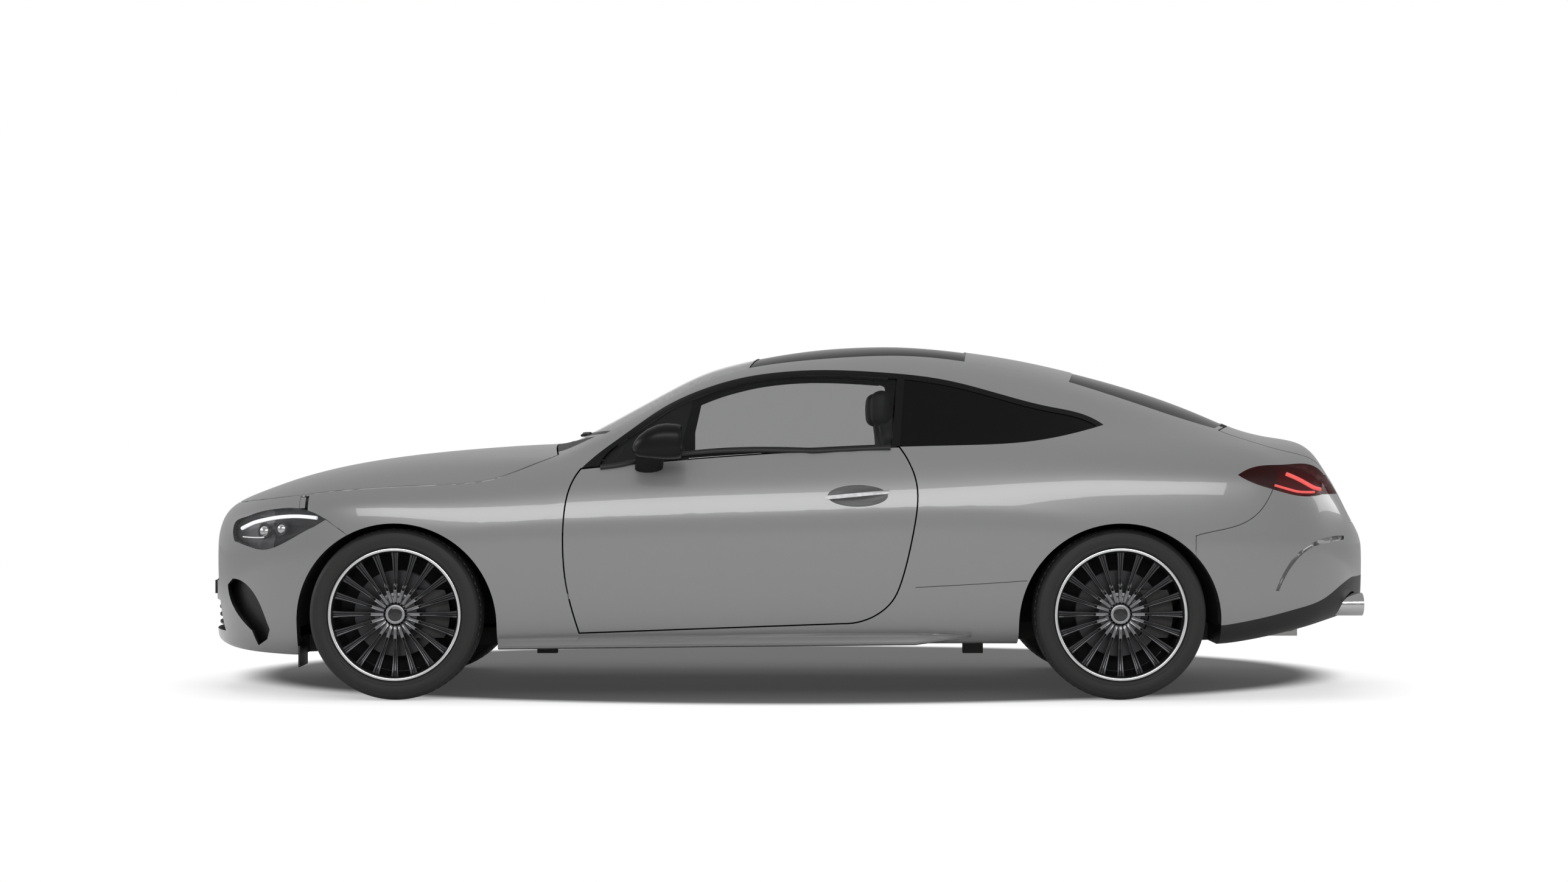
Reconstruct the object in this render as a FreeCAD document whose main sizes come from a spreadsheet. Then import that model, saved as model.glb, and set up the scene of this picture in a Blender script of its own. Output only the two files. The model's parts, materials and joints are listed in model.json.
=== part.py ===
import FreeCAD, Part

import math
import os

import Sketcher
from FreeCAD import Placement, Rotation, Vector

os.makedirs("parts", exist_ok=True)
doc = FreeCAD.newDocument("CoupeCar")

# Driving sizes in millimetres and degrees: alias, value
SIZES = [
    ("wheelbase", 2865),
    ("front_overhang", 825),
    ("rear_overhang", 1070),
    ("body_width", 1860),
    ("roof_height", 1423),
    ("wheel_track", 1580),
    ("panel_gap", 6),
    ("seat_gap", 0.3),
    ("skin_depth", 8),
    ("glass_set_in", 3),
    ("glass_depth", 5),
    ("roof_wall", 38),
    ("side_wall", 90),
    ("sill_wall", 130),
    ("tyre_radius", 339.5),
    ("tyre_width", 245),
    ("tyre_shoulder", 22),
    ("bead_radius", 252),
    ("rim_radius", 262),
    ("rim_width", 226),
    ("rim_wall", 9),
    ("spoke_count", 20),
    ("spoke_width", 13),
    ("spoke_depth", 26),
    ("hub_radius", 84),
    ("hub_depth", 58),
    ("spindle_radius", 30),
    ("running_fit", 0.3),
    ("disc_radius", 172),
    ("disc_depth", 30),
    ("arch_radius", 400),
    ("arch_drop", 40),
    ("liner_wall", 8),
    ("engine_length", 620),
    ("engine_width", 560),
    ("engine_height", 420),
    ("seat_width", 520),
    ("steering_wheel_radius", 185),
    ("steering_wheel_rim", 15),
    ("exhaust_radius", 28),
    ("jack_pad_length", 80),
    ("jack_pad_width", 60),
    ("jack_pad_height", 172),
    ("buffer_radius", 9),
    ("handle_length", 237),
    ("handle_height", 89),
    ("handle_recess", 30),
    ("handle_bar", 15),
    ("vane_pitch", 26),
    ("vane_wall", 7),
    ("vane_set", 10),
    ("intake_depth", 50),
    ("intake_floor", 8),
    ("exhaust_wall", 4),
]

sheet = doc.addObject("Spreadsheet::Sheet", "Sizes")
for row, (alias, value) in enumerate(SIZES, start=1):
    sheet.set("A%d" % row, alias.replace("_", " "))
    sheet.set("B%d" % row, str(value))
    sheet.setAlias("B%d" % row, alias)
doc.recompute()


class Dim:
    """A length with the sheet formula that gives it, so that a number and its expression never part."""

    def __init__(self, value, text):
        self.value = float(value)
        self.text = text

    def __float__(self):
        return self.value

    def __add__(self, other):
        other = dim(other)
        return Dim(self.value + other.value, "(%s + %s)" % (self.text, other.text))

    def __sub__(self, other):
        other = dim(other)
        return Dim(self.value - other.value, "(%s - %s)" % (self.text, other.text))

    def __mul__(self, factor):
        return Dim(self.value * factor, "(%s * %s)" % (self.text, factor))

    def __neg__(self):
        return self * -1

    def __rsub__(self, other):
        return dim(other) - self

    __radd__ = __add__
    __rmul__ = __mul__


def dim(value):
    """A plain number as a Dim."""
    return value if isinstance(value, Dim) else Dim(value, "(%s)" % value)


def size(alias):
    """The sheet's value of that name."""
    return Dim(sheet.get(alias), "Sizes.%s" % alias)


def number(alias):
    return float(sheet.get(alias))


# The body's guides are written for this car's own stations, heights and widths, and follow them when they change
NOSE, FRONT_AXLE, REAR_AXLE, TAIL = -2382, -1555, 1310, 2375
WAIST, ROOF = 700, 1423
INNER_HALF, OUTER_HALF = 400, 930


def mapped(value, anchors):
    """Carry a guide's value from the stations that it was written for to the sheet's."""
    for (a, b), (c, d) in zip(anchors, anchors[1:]):
        if value <= c:
            break
    return b + (value - a) * (d - b) / (c - a)


total_length = number("wheelbase") + number("front_overhang") + number("rear_overhang")
nose_x = -total_length / 2
front_axle_x = nose_x + number("front_overhang")
rear_axle_x = front_axle_x + number("wheelbase")
tail_x = total_length / 2
half_width = number("body_width") / 2
wheel_z = number("tyre_radius")
wheel_y = number("wheel_track") / 2

STATIONS = [(NOSE, nose_x), (FRONT_AXLE, front_axle_x), (REAR_AXLE, rear_axle_x), (TAIL, tail_x)]
HEIGHTS = [(0, 0), (WAIST, WAIST), (ROOF, number("roof_height"))]
WIDTHS = [(0, 0), (INNER_HALF, INNER_HALF), (OUTER_HALF, half_width)]


def along(x):
    return mapped(x, STATIONS)


def up(z):
    return mapped(z, HEIGHTS)


def out(y):
    return math.copysign(mapped(abs(y), WIDTHS), y)


def eased(knots, x):
    """A smooth curve through (x, value) knots that never swings past them."""
    if x <= knots[0][0]:
        return knots[0][1]
    if x >= knots[-1][0]:
        return knots[-1][1]
    count = len(knots)
    steps = [knots[i + 1][0] - knots[i][0] for i in range(count - 1)]
    slopes = [(knots[i + 1][1] - knots[i][1]) / steps[i] for i in range(count - 1)]
    tangents = [slopes[0]]
    for i in range(1, count - 1):
        before, after = slopes[i - 1], slopes[i]
        if before * after <= 0:
            tangents.append(0)
            continue
        w1 = 2 * steps[i] + steps[i - 1]
        w2 = steps[i] + 2 * steps[i - 1]
        tangents.append((w1 + w2) / (w1 / before + w2 / after))
    tangents.append(slopes[-1])
    i = max(k for k in range(count - 1) if knots[k][0] <= x)
    t = (x - knots[i][0]) / steps[i]
    rise = steps[i]
    return (
        knots[i][1] * (1 + 2 * t) * (1 - t) ** 2
        + tangents[i] * rise * t * (1 - t) ** 2
        + knots[i + 1][1] * t * t * (3 - 2 * t)
        + tangents[i + 1] * rise * t * t * (t - 1)
    )


# Guides of the outer skin: (station, value)
PLAN = [
    (-2382, 150), (-2376, 235), (-2362, 325), (-2340, 412), (-2310, 500), (-2270, 585), (-2210, 670),
    (-2130, 745), (-2040, 805), (-1950, 852), (-1830, 893), (-1700, 912), (-1555, 922), (-1150, 912),
    (-900, 903), (0, 900), (440, 903), (900, 918), (1310, 930), (1600, 922), (1800, 902), (1960, 872),
    (2080, 831), (2170, 775), (2235, 705), (2285, 610), (2325, 490), (2355, 350), (2370, 225), (2375, 150),
]
CENTRE_LINE = [
    (-2382, 600), (-2376, 650), (-2346, 722), (-2300, 768), (-2210, 809), (-2110, 845), (-1995, 884),
    (-1815, 928), (-1640, 957), (-1450, 979), (-1250, 996), (-1050, 1009), (-930, 1014), (-890, 1030),
    (-600, 1186), (-312, 1328), (-119, 1371), (2, 1395), (238, 1420), (413, 1424), (680, 1405),
    (899, 1376), (1200, 1313), (1523, 1220), (1760, 1126), (1832, 1088), (1885, 1070), (1980, 1046),
    (2080, 1030), (2124, 1012), (2160, 952), (2196, 900), (2270, 752), (2330, 676), (2362, 628), (2375, 590),
]
CREASE = [
    (-2382, 460), (-2346, 515), (-2288, 555), (-2200, 595), (-2090, 628), (-1950, 652), (-1555, 672),
    (-1319, 678), (-949, 702), (-710, 711), (0, 733), (633, 753), (955, 742), (1129, 718), (1310, 706),
    (1600, 700), (1850, 690), (2000, 676), (2120, 655), (2225, 620), (2312, 570), (2362, 520), (2375, 470),
]
CREASE_SPREAD = [
    (-2382, 30), (-1800, 60), (-1400, 26), (-1200, 16), (900, 16), (1150, 30), (1500, 60), (2375, 30),
]
BOTTOM_LINE = [
    (-2382, 216), (-2330, 197), (-2240, 178), (-2120, 168), (-1950, 163), (-1750, 180), (-1150, 193),
    (900, 215), (1700, 210), (1800, 222), (2034, 268), (2200, 312), (2300, 338), (2375, 355),
]
# Rows of the cabin's upper side, each (station, half-width, height)
SHOULDER_ROW = [
    (-900, 874, 822), (-600, 872, 838), (0, 872, 855), (440, 874, 870), (900, 890, 886), (1310, 905, 896),
    (1600, 898, 894), (1850, 876, 884),
]
BELT_ROW = [
    (-900, 818, 905), (-600, 812, 928), (-300, 810, 948), (0, 810, 962), (440, 812, 986), (900, 822, 1008),
    (1310, 835, 1000), (1600, 830, 985), (1850, 808, 965),
]
GLASS_FOOT_ROW = [
    (-900, 780, 938), (-600, 784, 955), (-300, 780, 975), (0, 778, 992), (440, 778, 1014), (900, 784, 1036),
    (1310, 765, 1056), (1600, 752, 1030), (1850, 732, 1000),
]
CANT_ROW = [
    (-900, 735, 962), (-600, 722, 1055), (-300, 652, 1205), (0, 630, 1262), (440, 626, 1284),
    (900, 640, 1226), (1310, 660, 1134), (1600, 655, 1072), (1850, 640, 1026),
]
RAIL_ROW = [
    (-900, 640, 985), (-600, 672, 1130), (-300, 590, 1282), (0, 566, 1342), (440, 560, 1368),
    (900, 560, 1312), (1310, 556, 1208), (1600, 545, 1118), (1850, 530, 1050),
]
CROWN_ROW = [
    (-900, 350, 1020), (-600, 360, 1172), (-300, 330, 1326), (0, 310, 1392), (440, 310, 1423), (900, 310, 1372),
    (1310, 300, 1270), (1600, 290, 1180), (1850, 280, 1078),
]
CABIN_ROWS = [SHOULDER_ROW, BELT_ROW, GLASS_FOOT_ROW, CANT_ROW, RAIL_ROW, CROWN_ROW]
# How far round the soft shoulder each of those rows lies ahead of and behind the cabin
SHOULDER_SHARES = [0.975, 0.925, 0.855, 0.745, 0.58, 0.31]
SHOULDER_POWER = 4.0
# Lower rows: tuck under the widest line, and share of the height up to the crease
LOWER_ROWS = [(190, 0.0), (85, 0.012), (38, 0.20), (12, 0.55)]
CABIN_FRONT, CABIN_REAR = -900, 1850
FLOW_FRONT, FLOW_REAR = -1500, 2080

SKIN_STATIONS = [
    -2382, -2381, -2377, -2365, -2342, -2308, -2262, -2200, -2128, -2045, -1950, -1830, -1700, -1565,
    -1430, -1300, -1180, -1080, -1000, -945, -900, -850, -770, -670, -560, -450, -340, -230, -110, 20,
    160, 300, 440, 580, 720, 860, 1000, 1140, 1280, 1420, 1550, 1660, 1750, 1820, 1870, 1925, 1985, 2040,
    2080, 2110, 2138, 2168, 2200, 2235, 2272, 2308, 2340, 2361, 2372, 2375,
]


def shoulder_point(x, share):
    """A point on the soft shoulder that joins the crease to the centre line, as (half-width, height)."""
    reach = eased(PLAN, x)
    start = eased(CREASE, x) + eased(CREASE_SPREAD, x)
    rise = eased(CENTRE_LINE, x) - start
    return reach * share, start + rise * math.sqrt(1 - share ** SHOULDER_POWER)


def row_point(row, x, share):
    """A cabin row at a station, run out smoothly into the shoulder ahead of and behind the cabin."""
    soft_y, soft_z = shoulder_point(x, share)
    if x <= FLOW_FRONT or x >= FLOW_REAR:
        return soft_y, soft_z
    inside = min(max(x, CABIN_FRONT), CABIN_REAR)
    y = eased([(a, b) for a, b, _ in row], inside)
    z = eased([(a, c) for a, _, c in row], inside)
    if x == inside:
        return y, z
    edge_y, edge_z = shoulder_point(inside, share)
    far = FLOW_FRONT if x < CABIN_FRONT else FLOW_REAR
    fade = (far - x) / (far - inside)
    fade = fade * fade * (3 - 2 * fade)
    return soft_y + (y - edge_y) * fade, soft_z + (z - edge_z) * fade


def section(x):
    """Poles of the outer skin's left half at a station, from the bottom edge up to the roof's middle."""
    reach = eased(PLAN, x)
    bottom = eased(BOTTOM_LINE, x)
    crease = eased(CREASE, x)
    spread = eased(CREASE_SPREAD, x)
    tuck_share = min(1.0, reach / 800)
    poles = [(reach - tuck * tuck_share, bottom + (crease - bottom) * share) for tuck, share in LOWER_ROWS]
    poles.append((reach, crease - spread))
    poles.append((reach - 5 * tuck_share, crease + spread))
    poles += [row_point(row, x, share) for row, share in zip(CABIN_ROWS, SHOULDER_SHARES)]
    poles.append((0, eased(CENTRE_LINE, x)))
    return [(out(y), up(z)) for y, z in poles]


def inset(poles, depths):
    """Move each pole of a section inwards, square to the skin, by its own depth."""
    moved = []
    last = len(poles) - 1
    for i, (y, z) in enumerate(poles):
        ahead, behind = poles[min(i + 1, last)], poles[max(i - 1, 0)]
        dy, dz = ahead[0] - behind[0], ahead[1] - behind[1]
        length = math.hypot(dy, dz)
        if i == last:
            dy, dz, length = -1, 0, 1
        depth = min(depths[i], 0.8 * y) if i < last else depths[i]
        moved.append((y - depth * dz / length, z + depth * dy / length))
    return moved


END_ZONE = 500


def skin_solid(depths, end_depth, open_below=0, stations=None):
    """The closed body inside the outer skin, or the same form set in by a depth for each row."""
    net = []
    for x in stations or SKIN_STATIONS:
        poles = inset(section(x), depths)
        poles[:2] = [(y, z - open_below) for y, z in poles[:2]]
        front_share = max(0, NOSE + END_ZONE - x) / END_ZONE
        rear_share = max(0, x - TAIL + END_ZONE) / END_ZONE
        shift = end_depth * (front_share - rear_share)
        net.append([Vector(along(x) + shift, -y, z) for y, z in poles])
    left = clamped_surface(net)
    right = clamped_surface([[Vector(p.x, -p.y, p.z) for p in row] for row in net])
    faces = [left.toShape(), right.toShape()]
    low = [clamped_curve([row[0] for row in net]), clamped_curve([Vector(r[0].x, -r[0].y, r[0].z) for r in net])]
    faces.append(Part.makeRuledSurface(low[0].toShape(), low[1].toShape()))
    for row in (net[0], net[-1]):
        mirrored = [Vector(p.x, -p.y, p.z) for p in row]
        edges = [
            clamped_curve(row).toShape(),
            clamped_curve(mirrored).toShape(),
            Part.makeLine(mirrored[0], row[0]),
        ]
        faces.append(Part.Face(Part.Wire(Part.__sortEdges__(edges))))
    shell = Part.makeShell(faces)
    shell.sewShape()
    solid = Part.Solid(shell)
    if solid.Volume < 0:
        solid.reverse()
    return solid


def knots_for(count):
    """Clamped, evenly spaced knots of a cubic with that many poles."""
    inner = count - 3
    return [float(i) for i in range(inner + 1)], [4] + [1] * (inner - 1) + [4]


def clamped_curve(poles):
    knots, mults = knots_for(len(poles))
    curve = Part.BSplineCurve()
    curve.buildFromPolesMultsKnots(poles, mults, knots, False, 3)
    return curve


def clamped_surface(net):
    """A cubic skin over a net of poles, stations by rows."""
    long_knots, long_mults = knots_for(len(net))
    round_knots, round_mults = knots_for(len(net[0]))
    surface = Part.BSplineSurface()
    surface.buildFromPolesMultsKnots(
        net, long_mults, round_mults, long_knots, round_knots, False, False, 3, 3
    )
    return surface


SIDE, PLAN_VIEW, REAR_VIEW = "side", "plan", "rear"


def placed(point, view, offset):
    """A guide point of a side, plan or rear view in space."""
    a, b = point
    if view == SIDE:
        return Vector(along(a), offset, up(b))
    if view == PLAN_VIEW:
        return Vector(along(a), out(b), offset)
    return Vector(offset, out(a), up(b))


def prism(runs, view, start, end):
    """A closed outline, drawn as straight and smooth runs, carried square to its view from start to end."""
    edges = []
    for run in runs:
        points = [placed(point, view, start) for point in run]
        if len(points) == 2:
            edges.append(Part.makeLine(*points))
        else:
            curve = Part.BSplineCurve()
            curve.interpolate(points)
            edges.append(curve.toShape())
    face = Part.Face(Part.Wire(edges))
    direction = {SIDE: Vector(0, 1, 0), PLAN_VIEW: Vector(0, 0, 1), REAR_VIEW: Vector(1, 0, 0)}[view]
    return face.extrude(direction * (end - start))


def grown(runs, gap):
    """The same outline moved outwards by a gap all round, or inwards when it is negative."""
    loop = [point for run in runs for point in run[:-1]]
    count = len(loop)
    turn = sum(
        loop[i][0] * loop[(i + 1) % count][1] - loop[(i + 1) % count][0] * loop[i][1] for i in range(count)
    )
    side = 1 if turn > 0 else -1
    moved = []
    for i, (a, b) in enumerate(loop):
        before, after = loop[i - 1], loop[(i + 1) % count]
        d1 = unit(a - before[0], b - before[1])
        d2 = unit(after[0] - a, after[1] - b)
        normal = unit(d1[1] + d2[1], -d1[0] - d2[0])
        stretch = max(0.4, normal[0] * d1[1] - normal[1] * d1[0])
        moved.append((a + side * gap * normal[0] / stretch, b + side * gap * normal[1] / stretch))
    result = []
    at = 0
    for run in runs:
        steps = len(run) - 1
        result.append([moved[(at + k) % count] for k in range(steps + 1)])
        at += steps
    return result


def unit(a, b):
    length = math.hypot(a, b)
    return a / length, b / length


def closed(*runs):
    """Runs joined end to end: each run lists its own points, and ends where the next one starts."""
    ring = list(runs)
    return [list(run) + [ring[(i + 1) % len(ring)][0]] for i, run in enumerate(ring)]


def both_sides(runs_left):
    """A plan outline from its left half, listed from the middle of the front to the middle of the rear."""
    right = [[(x, -y) for x, y in reversed(run)] for run in reversed(runs_left)]
    return runs_left + right


def box(x0, x1, y0, y1, z0, z1):
    return Part.makeBox(x1 - x0, y1 - y0, z1 - z0, Vector(x0, y0, z0))


def largest(shape):
    """The main solid of a cut, without the chips that fall off."""
    return max(shape.Solids, key=lambda solid: solid.Volume)


def mirrored(shape):
    return shape.mirror(Vector(0, 0, 0), Vector(0, 1, 0))


def shape_object(label, shape):
    """A sub-part whose form is drawn straight from the guides."""
    feature = doc.addObject("Part::Feature", label)
    feature.Label = label
    feature.Shape = shape
    feature.Placement = Placement()
    return feature


def pair(label, left):
    """The same piece on the left and on the right, as one node."""
    return shape_object(label, Part.makeCompound([left, mirrored(left)]))


WIDE = 1300
half_gap = number("panel_gap") / 2

# The skins that the panels are cut from
ROWS = len(section(0))
skin_depth = number("skin_depth")
glass_in = number("glass_set_in")
side_wall, sill_wall, roof_wall = number("side_wall"), number("sill_wall"), number("roof_wall")
wall_depths = [sill_wall, sill_wall, side_wall, side_wall, side_wall, side_wall]
wall_depths += [side_wall - 10, side_wall - 20, 58, 48, roof_wall + 4, roof_wall, roof_wall]
CAVITY_STATIONS = [x for x in SKIN_STATIONS if -2310 < x < 2290]

outer = skin_solid([0] * ROWS, 0)
skin_back = skin_solid([skin_depth] * ROWS, skin_depth)
core_face = skin_solid([skin_depth - 2] * ROWS, skin_depth - 2)
glass_face = skin_solid([glass_in] * ROWS, glass_in)
glass_back = skin_solid([glass_in + number("glass_depth")] * ROWS, glass_in + number("glass_depth"))
cavity = skin_solid(wall_depths, 0, 60, CAVITY_STATIONS)
for solid in (outer, skin_back, core_face, glass_face, glass_back, cavity):
    print("skin", solid.isValid(), round(solid.Volume / 1e9, 3))

# Wheel arches
arch_radius = number("arch_radius")
arch_z = wheel_z - number("arch_drop")
ARCH_INNER = 470


def arch(axle_x, radius, inner=ARCH_INNER, deep=300):
    """The wheel's opening: a drum over the wheel, open down to the ground."""
    drum = Part.makeCylinder(radius, WIDE - inner, Vector(axle_x, -WIDE, arch_z), Vector(0, 1, 0))
    foot = box(axle_x - radius, axle_x + radius, -WIDE, -inner, arch_z - deep, arch_z)
    left = drum.fuse(foot)
    return left.fuse(mirrored(left))


arches = arch(front_axle_x, arch_radius).fuse(arch(rear_axle_x, arch_radius))
wall = outer.cut(cavity).cut(arches)
glass_skin = glass_face.cut(glass_back)
print("wall", wall.isValid(), len(wall.Solids), round(wall.Volume / 1e9, 4))

# Shut lines and openings, drawn in the views that show them
DOOR = closed(
    [(-825, 914), (-869, 833), (-889, 712), (-892, 610), (-880, 459), (-858, 359)],
    [(-830, 263)],
    [(211, 301), (302, 315), (362, 346), (413, 397), (444, 466), (485, 630), (504, 740), (509, 810),
     (504, 861), (485, 922)],
    [(439, 1001), (-424, 950)],
)
WINDOW = closed(
    [(-822, 917), (-424, 950), (439, 1001), (722, 1008), (955, 1022), (1163, 1062)],
    [(1259, 1089), (1187, 1129), (1047, 1162), (837, 1217), (633, 1270), (362, 1302), (161, 1311),
     (-41, 1302), (-192, 1279), (-344, 1234), (-496, 1164), (-647, 1058), (-767, 968)],
)
DAYLIGHT = closed(
    [(-760, 900), (439, 960), (722, 960), (955, 980), (1163, 1010)],
    [(1228, 1086), (1175, 1112), (1040, 1143), (832, 1197), (628, 1249), (358, 1281), (161, 1290),
     (-41, 1281), (-184, 1258), (-334, 1214), (-484, 1146), (-634, 1042), (-735, 962)],
)
PILLAR = closed([(405, 940)], [(437, 940)], [(478, 1400)], [(448, 1400)])
BONNET = both_sides([
    [(-2296, 0), (-2288, -180), (-2262, -340), (-2225, -455), (-2177, -541)],
    [(-2177, -541), (-2125, -622), (-2057, -696), (-1944, -778), (-1820, -822), (-1691, -843), (-1480, -846),
     (-1280, -840), (-1150, -824), (-1080, -801), (-1000, -756), (-925, -676)],
    [(-925, -676), (-948, -420), (-962, 0)],
])
BOOT_LID = both_sides([
    [(1832, 0), (1810, -320), (1738, -575)],
    [(1738, -575), (1790, -612), (1870, -638), (1985, -646), (2240, -640)],
    [(2240, -640), (2500, -640)],
    [(2500, -640), (2500, 0)],
])
WINDSCREEN = both_sides([
    [(-908, 0), (-885, -300), (-815, -540), (-752, -640)],
    [(-752, -640), (-600, -602), (-300, -532), (-170, -512)],
    [(-170, -512), (-138, -260), (-128, 0)],
])
ROOF_GLASS = both_sides([
    [(-122, 0), (-132, -260), (-162, -500)],
    [(-162, -500), (150, -496), (450, -494), (716, -494)],
    [(716, -494), (735, -260), (742, 0)],
])
REAR_WINDOW = both_sides([
    [(1186, 0), (1176, -260), (1142, -488)],
    [(1142, -488), (1300, -506), (1520, -536), (1724, -556)],
    [(1724, -556), (1786, -330), (1808, 0)],
])
ROOF_PANEL = both_sides([
    [(748, 0), (741, -260), (722, -500)],
    [(722, -500), (1136, -500)],
    [(1136, -500), (1170, -260), (1180, 0)],
])
BUMPER_SPLIT = closed([(-2600, 0)], [(-1700, 0)], [(-1700, 600)], [(-1743, 657)], [(-1828, 716)],
                      [(-1940, 757)], [(-1944, 1100)], [(-2600, 1100)])
WING = closed(
    [(-1905, 0)], [(-1160, 0)], [(-1160, 263)], [(-836, 263), (-864, 359), (-886, 459), (-898, 610),
     (-895, 712), (-875, 833)], [(-831, 914)], [(-831, 1200)], [(-1905, 1200)],
)
HEADLAMP = closed(
    [(-2234, 620), (-2246, 662), (-2238, 696), (-2190, 718), (-2127, 738), (-2040, 754), (-1957, 758),
     (-1905, 749), (-1856, 730)],
    [(-1828, 714)],
    [(-1877, 685), (-1954, 646), (-2029, 608), (-2094, 590), (-2160, 600)],
)
TAIL_LAMP = closed(
    [(1772, 890), (1844, 922), (1971, 930), (2096, 926)],
    [(2146, 888)],
    [(2600, 888)],
    [(2600, 812)],
    [(2120, 812), (2044, 804), (1910, 833), (1818, 864)],
)
REAR_SPLIT = closed([(2600, 0)], [(1600, 0)], [(1600, 652), (1658, 667), (1799, 706), (1859, 752), (1908, 830)],
                    [(1922, 858)], [(2600, 858)])
VALANCE = closed([(1600, 100)], [(1600, 290)], [(1724, 296), (1902, 330), (2022, 360), (2086, 378),
                 (2136, 401), (2196, 443)], [(2262, 478)], [(2600, 478)], [(2600, 100)])
GRILLE = closed([(-300, 658), (0, 676)], [(300, 658)], [(374, 588)], [(408, 452)], [(-408, 452)], [(-374, 588)])
LOWER_INTAKE = closed([(-440, 374)], [(440, 374)], [(500, 252)], [(-500, 252)])
CORNER_INTAKE = closed([(-2273, 443)], [(-2245, 469), (-2190, 458), (-2149, 425), (-2099, 337)], [(-2074, 271)],
                       [(-2088, 231)], [(-2131, 203)], [(-2155, 263), (-2217, 321), (-2254, 373)])
CORNER_VANE = closed([(-2200, 470)], [(-2166, 470)], [(-2092, 200)], [(-2126, 200)])
REAR_SCOOP = closed([(1923, 432), (1956, 507), (2015, 583), (2079, 623)], [(2215, 645)], [(2215, 631)],
                    [(2086, 609), (2025, 571), (1968, 499)], [(1936, 430)])
LID_FLOOR = 700


def lid(runs, view, start, end, inner_set):
    """An opening panel: a thin skin, and behind it the frame, set in from the shut line."""
    skin = outer.cut(skin_back).common(prism(grown(runs, -half_gap), view, start, end))
    frame = core_face.cut(cavity).common(prism(grown(runs, -inner_set), view, start, end))
    return skin.fuse(frame)


def opened(runs, view, start, end):
    return prism(grown(runs, half_gap), view, start, end)


LID_INNER = 26
TOP = 1600
STRIP_HALF = 470
SCUTTLE_HALF = 600

# Bonnet and boot lid
bonnet = lid(BONNET, PLAN_VIEW, LID_FLOOR, TOP, LID_INNER)
wall = wall.cut(opened(BONNET, PLAN_VIEW, LID_FLOOR - 10, TOP))
boot_lid = lid(BOOT_LID, PLAN_VIEW, LID_FLOOR, TOP, LID_INNER)
wall = wall.cut(opened(BOOT_LID, PLAN_VIEW, LID_FLOOR - number("panel_gap"), TOP))

# Glass in the top of the body
windscreen = glass_skin.common(prism(WINDSCREEN, PLAN_VIEW, 800, TOP))
roof_glass = glass_skin.common(prism(ROOF_GLASS, PLAN_VIEW, 800, TOP))
rear_window = glass_skin.common(prism(REAR_WINDOW, PLAN_VIEW, 800, TOP))
for runs in (WINDSCREEN, ROOF_GLASS, REAR_WINDOW):
    wall = wall.cut(prism(runs, PLAN_VIEW, 800, TOP))
roof_panel = wall.common(prism(ROOF_PANEL, PLAN_VIEW, 1000, TOP))
wall = wall.cut(prism(ROOF_PANEL, PLAN_VIEW, 1000, TOP))
roof_strip_space = box(along(-400), along(400), -STRIP_HALF, STRIP_HALF, up(1250), TOP)
scuttle_space = box(along(-1060), along(-700), -SCUTTLE_HALF, SCUTTLE_HALF, up(850), TOP)
deck_strip_space = box(along(1640), along(1900), -STRIP_HALF, STRIP_HALF, up(900), TOP)
roof_strip = largest(wall.common(roof_strip_space))
scuttle = largest(wall.common(scuttle_space))
deck_strip = largest(wall.common(deck_strip_space))
for space in (roof_strip_space, scuttle_space, deck_strip_space):
    wall = wall.cut(space)

# Lamps, left, with the same on the right
left_half = box(-3000, 3000, -WIDE, 0, 0, 2000)
lamp_prism = prism(HEADLAMP, SIDE, -WIDE, -500)
headlamp = outer.cut(cavity).common(lamp_prism)
headlamp = largest(headlamp.cut(opened(BONNET, PLAN_VIEW, LID_FLOOR - 10, TOP)))
wall = wall.cut(lamp_prism).cut(mirrored(lamp_prism))
tail_prism = prism(TAIL_LAMP, SIDE, -WIDE, -430)
tail_lamp = largest(outer.cut(cavity).common(tail_prism).cut(opened(BOOT_LID, PLAN_VIEW, LID_FLOOR, TOP)))
wall = wall.cut(tail_prism).cut(mirrored(tail_prism))



def shut_groove(runs):
    """The shut line just inside an outline, as deep as the outer skin."""
    band = prism(runs, SIDE, -WIDE, WIDE).cut(prism(grown(runs, -half_gap), SIDE, -WIDE, WIDE))
    return band.cut(skin_back)


# Bumpers
front_split = prism(BUMPER_SPLIT, SIDE, -WIDE, WIDE)
front_bumper = wall.common(front_split).cut(shut_groove(BUMPER_SPLIT))
wall = wall.cut(front_split)
slam_panel = box(along(-2312), along(-2200), -340, 340, 640, LID_FLOOR - 10)
front_bumper = front_bumper.fuse(slam_panel)

# Intakes: pockets in the nose, each floored and slatted by the grille
intake_depth = number("intake_depth")
intake_floor = intake_depth - number("intake_floor")
vane_pitch, vane_wall, vane_set = number("vane_pitch"), number("vane_wall"), number("vane_set")
NOSE_START, NOSE_END = nose_x - 100, nose_x + 400


def set_back(direction, depth):
    """The body's outer form moved inwards along a direction."""
    copy = outer.copy()
    copy.translate(direction * depth)
    return copy


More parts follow.
